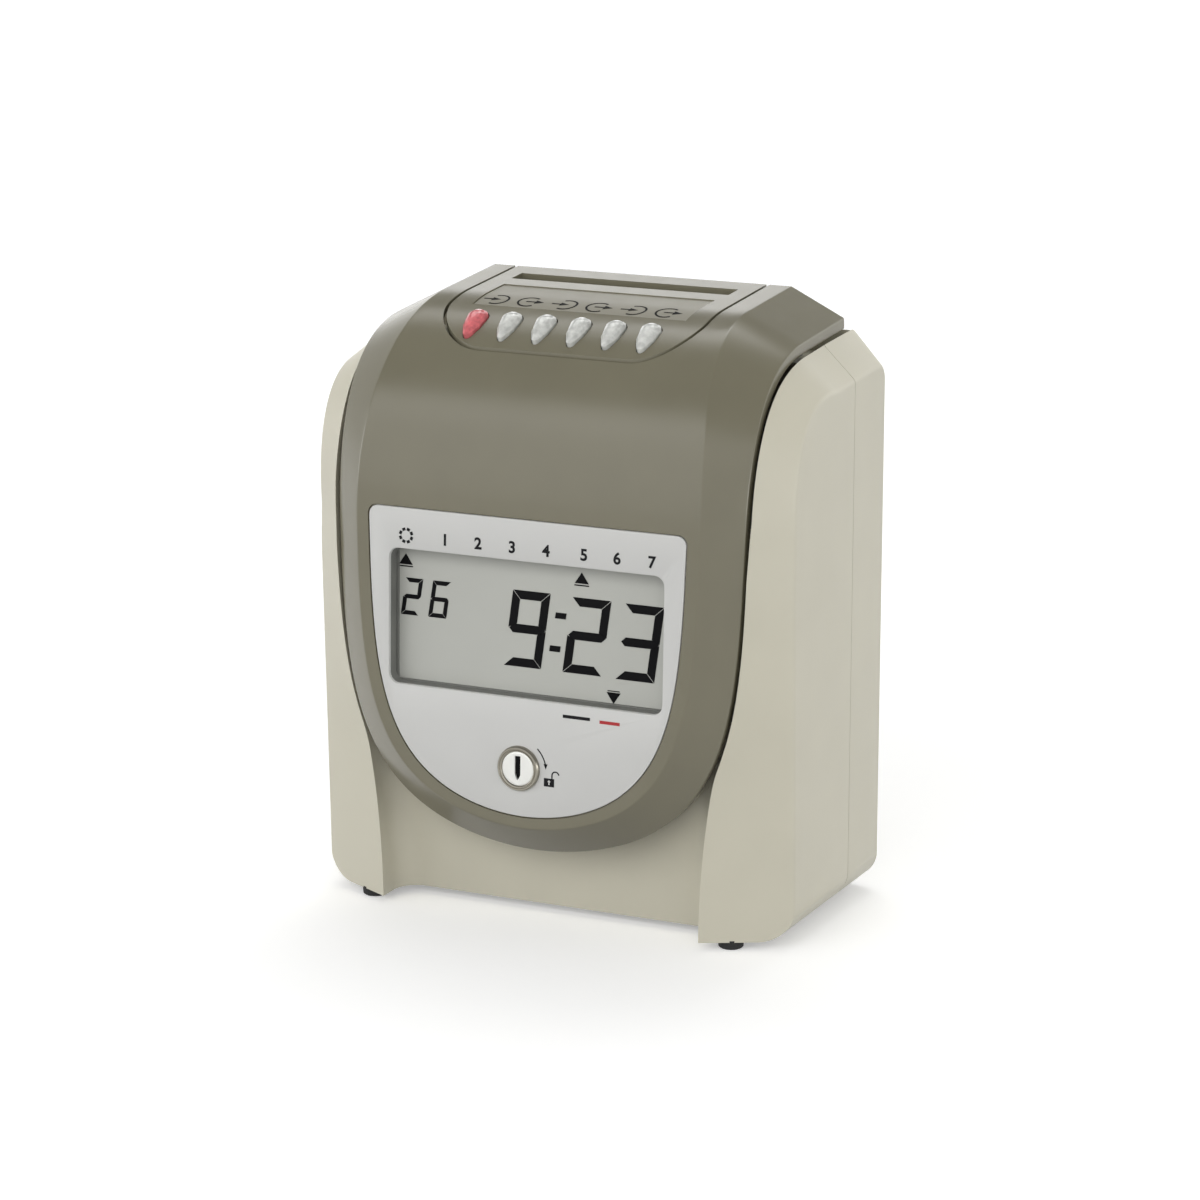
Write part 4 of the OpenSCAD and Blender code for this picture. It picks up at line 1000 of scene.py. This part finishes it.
# Lock: turned collar with a groove, and the plug with its key slot
def lock_axis(x, y, z):
    """Local Z stands out of the face at the lock."""
    return on_face(LOCK_X + x, -z, LOCK_Z + y)


LOCK_BORE_R = LOCK_PLUG_R + 0.05
LOCK_STEPS = 96
collar = turned("lock_collar", [(LOCK_BORE_R, -LOCK_LEN), (LOCK_BORE_R, 0.6),
                                (LOCK_HEAD_R + 0.05, 0.6), (LOCK_HEAD_R + 0.05, 1.25),
                                (6.65, 1.5), (6.85, 1.58), (7.05, 1.25), (7.3, 1.25),
                                (7.5, 1.5), (7.9, 1.5), (8.25, 1.1), (8.4, 0.7), (8.4, 0.0),
                                (LOCK_BODY_R, 0.0), (LOCK_BODY_R, -LOCK_LEN)],
                LOCK_STEPS, lock_axis)
cut(collar, turned("bore", [(LOCK_BORE_R, -LOCK_LEN - 1), (LOCK_BORE_R, 1.2)], LOCK_STEPS,
                   lock_axis))
smooth(collar, 35)
dress(collar, taupe_metal, "cover", ["lock_barrel"])
plug = turned("lock_face", [(0.01, -LOCK_LEN - 3), (2.5, -LOCK_LEN - 3), (2.5, -LOCK_LEN - 0.4),
                            (LOCK_PLUG_R, -LOCK_LEN - 0.4), (LOCK_PLUG_R, 0.65),
                            (LOCK_HEAD_R, 0.65), (LOCK_HEAD_R, 1.0), (6.1, 1.25),
                            (5.7, 1.3), (0.01, 1.3)], LOCK_STEPS, lock_axis)
key_slot = [(-1.15, 4.8), (1.15, 4.8), (1.15, -2.3), (0.5, -3.6), (-0.1, -4.3), (-0.6, -3.4),
            (-1.15, -2.1)]
cut(plug, loft("key_slot", [[lock_axis(x, y, h) for x, y in key_slot] for h in (-5, 2)]))
smooth(plug, 35)
dress(plug, chrome, "lock", ["lock_plug"])
# Black insert filling the key slot: painted shade in the keyway behind the plug's face
slot_shade = loft("keyway_slot_shade", [[lock_axis(x * 0.96, y * 0.98, h) for x, y in key_slot]
                              for h in (-4.9, 0.5)])
dress(slot_shade, segment_black, "lock")


# Top panel, its label and the signs on it
BAND_START = 0.3
POST_X = 45.5
POST_R = 2.2


def band(top, under):
    """Outline in Y and Z of a strip that follows the shoulder and the top."""
    us = [mix(BAND_START, 1, i / 48) for i in range(49)]
    return ([tuple(over(u, top)) for u in us] + [tuple(over(2, top)), tuple(over(2, under))]
            + [tuple(over(u, under)) for u in us[::-1]])


def teardrop(grow, steps=20):
    """Outline of a button, in the axes of the slope."""
    half = BUTTON_TIP / 2
    b = math.degrees(math.asin((BUTTON_R - BUTTON_MID_R) / half))
    c = math.degrees(math.asin((BUTTON_MID_R - TIP_R) / half))
    return (arc((0, ROUND_END_Y), BUTTON_R + grow, -b, 180 + b, steps)
            + arc((0, ROUND_END_Y - half), BUTTON_MID_R + grow, 180 + b, 180 + c, 3)
            + arc((0, ROUND_END_Y - BUTTON_TIP), TIP_R + grow, 180 + c, 360 - c, 6)
            + arc((0, ROUND_END_Y - half), BUTTON_MID_R + grow, 360 - c, 360 - b, 3))


panel = bar("top_skin", band(0, PANEL_T), -PANEL_X, PANEL_X)
meet(panel, upright("plan", panel_outline(-SEAM_WEAR, ARM_END_Y), TOP_Z - 80, BIG))
for side in (-1, 1):
    x0, x1 = sorted((side * (PANEL_X - PANEL_T), side * PANEL_X))
    rib_line = [tuple(over(u, 1)) for u in (0.88, 0.91, 0.94, 0.97, 1, 2)]
    rib = bar("rib", rib_line + [(ARM_END_Y, CHASSIS_TOP_Z), (over(0.88, 1)[0], CHASSIS_TOP_Z)],
              x0, x1)
    meet(rib, upright("plan", panel_outline(0, ARM_END_Y), TOP_Z - 80, BIG))
    join(panel, rib)
    join(panel, upright("post", circle((side * POST_X, 0), POST_R, 36), -12, -1, on_slope))
join(panel, block("end_wall", (-PANEL_X, ARM_END_Y - PANEL_T, LEDGE_Z),
                  (PANEL_X, ARM_END_Y, over(2, 1)[1])))
cut(panel, upright("slot", round_rect(-SLOT_X, SLOT_Y - SLOT_W / 2, SLOT_X, SLOT_Y + SLOT_W / 2,
                                      0.5, 4), CHASSIS_TOP_Z, BIG))
for button_x in BUTTON_X:
    outline = [(button_x + x, y) for x, y in teardrop(BUTTON_GAP)]
    cut(panel, upright("button_hole", outline, -6, 6, on_slope))
recess_x = LABEL_X + LABEL_GAP
recess = bar("recess", band(-1, LABEL_RECESS), -recess_x, recess_x)
meet(recess, block("recess_box", (-recess_x, LABEL_LOW_Y - LABEL_GAP, CHASSIS_TOP_Z),
                   (recess_x, LABEL_HIGH_Y + LABEL_GAP, BIG)))
cut(panel, recess)
smooth(panel, 30)
dress(panel, taupe, "casing", ["top_panel"])

label = bar("sign_label", band(LABEL_TOP, LABEL_RECESS), -LABEL_X, LABEL_X)
meet(label, block("label_box", (-LABEL_X, LABEL_LOW_Y, CHASSIS_TOP_Z),
                  (LABEL_X, LABEL_HIGH_Y, BIG)))
smooth(label, 30)
dress(label, taupe_label, "casing", ["arrow_label"])


def on_label(x, depth, y):
    """A place on the label at x and the drawing's Y, sunk by depth."""
    low = BAND_START
    high = 2
    for _ in range(40):
        u = (low + high) / 2
        if over(u, LABEL_TOP)[0] < y:
            low = u
        else:
            high = u
    return (x, *over(u, LABEL_TOP + depth))


def open_ring(x, y, turns):
    """Stroke of the open ring that stands for the room which the arrow enters or leaves."""
    line = [(x + 4.2 * math.cos(math.radians(a)), y + 4.3 * math.sin(math.radians(a)))
            for a in turns]
    return stroke(line, SIGN_STROKE)


# Arrows into a ring and out of it, in turn
SIGN_Y = 51.5
SIGN_STROKE = 0.8
icons = []
for i, button_x in enumerate(BUTTON_X):
    x = button_x + 0.2
    y = SIGN_Y
    if i % 2 == 0:
        icons.append(open_ring(x + 0.4, y, range(118, -119, -8)))
        icons.append(stroke([(x - 5.2, y), (x - 0.8, y)], SIGN_STROKE))
        icons.append([(x - 1.8, y + 1.5), (x + 1.6, y), (x - 1.8, y - 1.5)])
    else:
        icons.append(open_ring(x - 0.6, y, range(52, 309, 8)))
        icons.append(stroke([(x - 1.8, y), (x + 2.6, y)], SIGN_STROKE))
        icons.append([(x + 1.9, y + 1.7), (x + 5.4, y), (x + 1.9, y - 1.7)])
label_signs = flat_shapes("label_signs", icons, -0.05, 0.02, on_label)
dress(label_signs, label_black, "casing")

# Lead screw with its steep thread between plain journals
SCREW_R = 3
SCREW_AT = (box_middle("lead_screw", Y), box_middle("lead_screw", Z))
SCREW_LEAD = 12
SCREW_STARTS = 4
SCREW_HALF = 48.6
JOURNAL_R = 2
THREAD_DEEP = 0.5
SCREW_STEPS = 390
SCREW_SIDES = 32
rings = []
for i in range(SCREW_STEPS + 1):
    x = mix(-SCREW_HALF, SCREW_HALF, i / SCREW_STEPS)
    ring = []
    for k in range(SCREW_SIDES):
        turn = k / SCREW_SIDES
        phase = (SCREW_STARTS * (x / SCREW_LEAD - turn)) % 1
        plain = min((SCREW_HALF - abs(x)) / 1.5, 1)
        r = SCREW_R - THREAD_DEEP * plain * ease(1 - abs(2 * phase - 1) * 1.6)
        ring.append((x, SCREW_AT[0] + r * math.cos(math.tau * turn),
                     SCREW_AT[1] + r * math.sin(math.tau * turn)))
    rings.append(ring)


def journal(start, end):
    """Rings of a plain round end of the screw."""
    line = circle(SCREW_AT, JOURNAL_R, SCREW_SIDES)
    return [[(x, y, z) for y, z in line] for x in (start, end)]


threaded_screw = loft("threaded_screw", journal(box_low("lead_screw", X), -SCREW_HALF) + rings
                      + journal(SCREW_HALF, box_high("lead_screw", X)))
smooth(threaded_screw, 40)
dress(threaded_screw, steel, "screw", ["lead_screw"])

# Buttons: cut like crystals, with facets that rise to a small table
STEM_R = 1.6
STEM_Y = ROUND_END_Y - 3
TABLE_Y = ROUND_END_Y - 1.8
for i, button_x in enumerate(BUTTON_X):
    rows = []
    for grow, height, pull in ((0, -0.2, 0), (0, 0.7, 0), (-0.8, 1.8, 0.05), (-2.0, 2.6, 0.2),
                               (-3.0, 2.9, 0.35)):
        outline = teardrop(0, 12)
        shrink = 1 + grow / BUTTON_R
        centre_y = TABLE_Y + pull
        rows.append([on_slope(button_x + x * shrink, mix(centre_y, y, shrink), height)
                     for x, y in outline])
    crystal = loft(f"crystal_{i + 1}", rows)
    stem = upright("stem", circle((button_x, STEM_Y), STEM_R, 24), -9, 0, on_slope)
    skirt = upright("skirt", [(button_x + x, y) for x, y in teardrop(0, 12)], -3, 0, on_slope)
    join(crystal, skirt, stem)
    smooth(crystal, 12)
    dress(crystal, red_button if i == 0 else clear_button, f"button_body_{i + 1}",
          [f"button_{i + 1}"])

# Floor: white to the eye and in reflections, duller in the light that it throws back
FLOOR_DULL = 0.28
FLOOR_GLOW = 0.3
bpy.ops.mesh.primitive_grid_add(x_subdivisions=8, y_subdivisions=8, size=40)
floor = bpy.context.object
floor.name = "floor"
floor_finish = bpy.data.materials.new("floor_paper")
floor_finish.use_nodes = True
paper = floor_finish.node_tree
paper.nodes.remove(paper.nodes["Principled BSDF"])
path = paper.nodes.new("ShaderNodeLightPath")
dull = paper.nodes.new("ShaderNodeBsdfDiffuse")
dull.inputs["Color"].default_value = (FLOOR_DULL, FLOOR_DULL, FLOOR_DULL, 1)
white = paper.nodes.new("ShaderNodeBsdfDiffuse")
white.inputs["Color"].default_value = (0.95, 0.95, 0.95, 1)
glow = paper.nodes.new("ShaderNodeEmission")
glow.inputs["Strength"].default_value = FLOOR_GLOW
seen = paper.nodes.new("ShaderNodeAddShader")
paper.links.new(white.outputs[0], seen.inputs[0])
paper.links.new(glow.outputs[0], seen.inputs[1])
choice = paper.nodes.new("ShaderNodeMixShader")
straight = paper.nodes.new("ShaderNodeMath")
straight.operation = "MAXIMUM"
paper.links.new(path.outputs["Is Camera Ray"], straight.inputs[0])
paper.links.new(path.outputs["Is Transmission Ray"], straight.inputs[1])
sharp = paper.nodes.new("ShaderNodeMath")
sharp.operation = "MAXIMUM"
paper.links.new(straight.outputs[0], sharp.inputs[0])
paper.links.new(path.outputs["Is Glossy Ray"], sharp.inputs[1])
paper.links.new(sharp.outputs[0], choice.inputs[0])
paper.links.new(dull.outputs[0], choice.inputs[1])
paper.links.new(seen.outputs[0], choice.inputs[2])
paper.links.new(choice.outputs[0], paper.nodes["Material Output"].inputs["Surface"])
floor.data.materials.append(floor_finish)

# Soft studio light: a wide bright wall in front, a low band behind, a hatch and a dim ceiling
WALL_LOW = 1.5
WALL_HIGH = 3.45
WALL_RIGHT = 0.6
BAND = 1.45
BAND_LEFT = 0.35
CEILING = 0.25
HATCH = 3.9
world = bpy.data.worlds.new("studio")
bpy.context.scene.world = world
world.use_nodes = True
sky = world.node_tree
split = sky.nodes.new("ShaderNodeSeparateXYZ")
sky.links.new(sky.nodes.new("ShaderNodeTexCoord").outputs["Generated"], split.inputs["Vector"])


def calc(operation, a, b=0.0):
    """One step of arithmetic in the world's nodes."""
    step = sky.nodes.new("ShaderNodeMath")
    step.operation = operation
    for socket, value in zip(step.inputs, (a, b)):
        if isinstance(value, (int, float)):
            socket.default_value = value
        else:
            sky.links.new(value, socket)
    return step.outputs[0]


def ramp(value, start, end, low, high):
    """Goes smoothly from low to high while the value goes from start to end."""
    step = sky.nodes.new("ShaderNodeMapRange")
    step.interpolation_type = "SMOOTHSTEP"
    for name, number in (("From Min", start), ("From Max", end), ("To Min", low), ("To Max", high)):
        step.inputs[name].default_value = number
    sky.links.new(value, step.inputs["Value"])
    return step.outputs["Result"]


to_right, to_rear, to_top = split.outputs
ahead = calc("MAXIMUM", calc("MULTIPLY", to_rear, -1), 0.001)
rise = calc("DIVIDE", to_top, ahead)
aside = calc("DIVIDE", calc("ABSOLUTE", to_right), ahead)
wall_light = calc("MULTIPLY", ramp(rise, 0.35, 1.15, WALL_LOW, WALL_HIGH),
                  calc("MULTIPLY", ramp(rise, 0.62, 1.24, 1, 0), ramp(aside, 2.2, 2.8, 1, 0)))
wall_light = calc("MULTIPLY", wall_light, ramp(to_right, 0.25, 0.75, 1, WALL_RIGHT))
band_light = calc("MULTIPLY", ramp(to_top, 0.36, 0.48, BAND, 0),
                  calc("MULTIPLY", ramp(to_rear, 0, 0.15, 0, 1),
                       ramp(to_right, -0.85, -0.55, BAND_LEFT, 1)))
hatch_light = calc("MULTIPLY", ramp(to_top, 0.7, 0.8, 0, HATCH),
                   calc("MULTIPLY", ramp(to_rear, 0.1, 0.6, 0, 1),
                        ramp(to_right, 0, 0.3, 1, 0)))
total = calc("ADD", calc("ADD", wall_light, band_light), calc("ADD", hatch_light, CEILING))
background = sky.nodes["Background"]
background.inputs["Color"].default_value = (1, 1, 0.99, 1)
sky.links.new(total, background.inputs["Strength"])


def area_light(name, place, width, height, power):
    """A rectangular lamp that faces the middle of the object; sizes in metres."""
    lamp = bpy.data.lights.new(name, "AREA")
    lamp.shape = "RECTANGLE"
    lamp.size = width
    lamp.size_y = height
    lamp.energy = power
    holder = bpy.data.objects.new(name, lamp)
    holder.location = place
    aim = Vector(LIGHT_TARGET) - Vector(place)
    holder.rotation_euler = aim.to_track_quat("-Z", "Y").to_euler()
    bpy.context.scene.collection.objects.link(holder)


LIGHT_TARGET = (0, 0, 0.12)
area_light("left", (-1.6, -0.4, 0.3), 0.8, 0.5, 4.4)
area_light("right", (1.65, -0.3, 0.15), 0.8, 0.4, 6.6)

# Camera at the photograph's viewing angle
AZIMUTH = math.radians(25.28)
ELEVATION = math.radians(13.86)
DISTANCE = 1469.6
FOCAL_PX = 4003.5
PHOTO_PX = 1200
SENSOR_MM = 36
AIM_X = 27.27
AIM_Z = 122.9
right = Vector((math.cos(AZIMUTH), math.sin(AZIMUTH), 0))
forward = Vector((-math.sin(AZIMUTH) * math.cos(ELEVATION),
                  math.cos(AZIMUTH) * math.cos(ELEVATION), -math.sin(ELEVATION)))
up = right.cross(forward)
eye = -forward * DISTANCE + right * AIM_X + up * AIM_Z - Vector((0, MID_Y, 0))
camera = bpy.data.objects.new("camera", bpy.data.cameras.new("camera"))
camera.data.sensor_width = SENSOR_MM
camera.data.lens = SENSOR_MM * FOCAL_PX / PHOTO_PX
camera.data.clip_end = 100
axes = Matrix((right, up, -forward)).transposed().to_4x4()
camera.matrix_world = Matrix.Translation(eye * MM) @ axes
bpy.context.scene.collection.objects.link(camera)
bpy.context.scene.camera = camera
bpy.context.scene.view_settings.view_transform = "Standard"
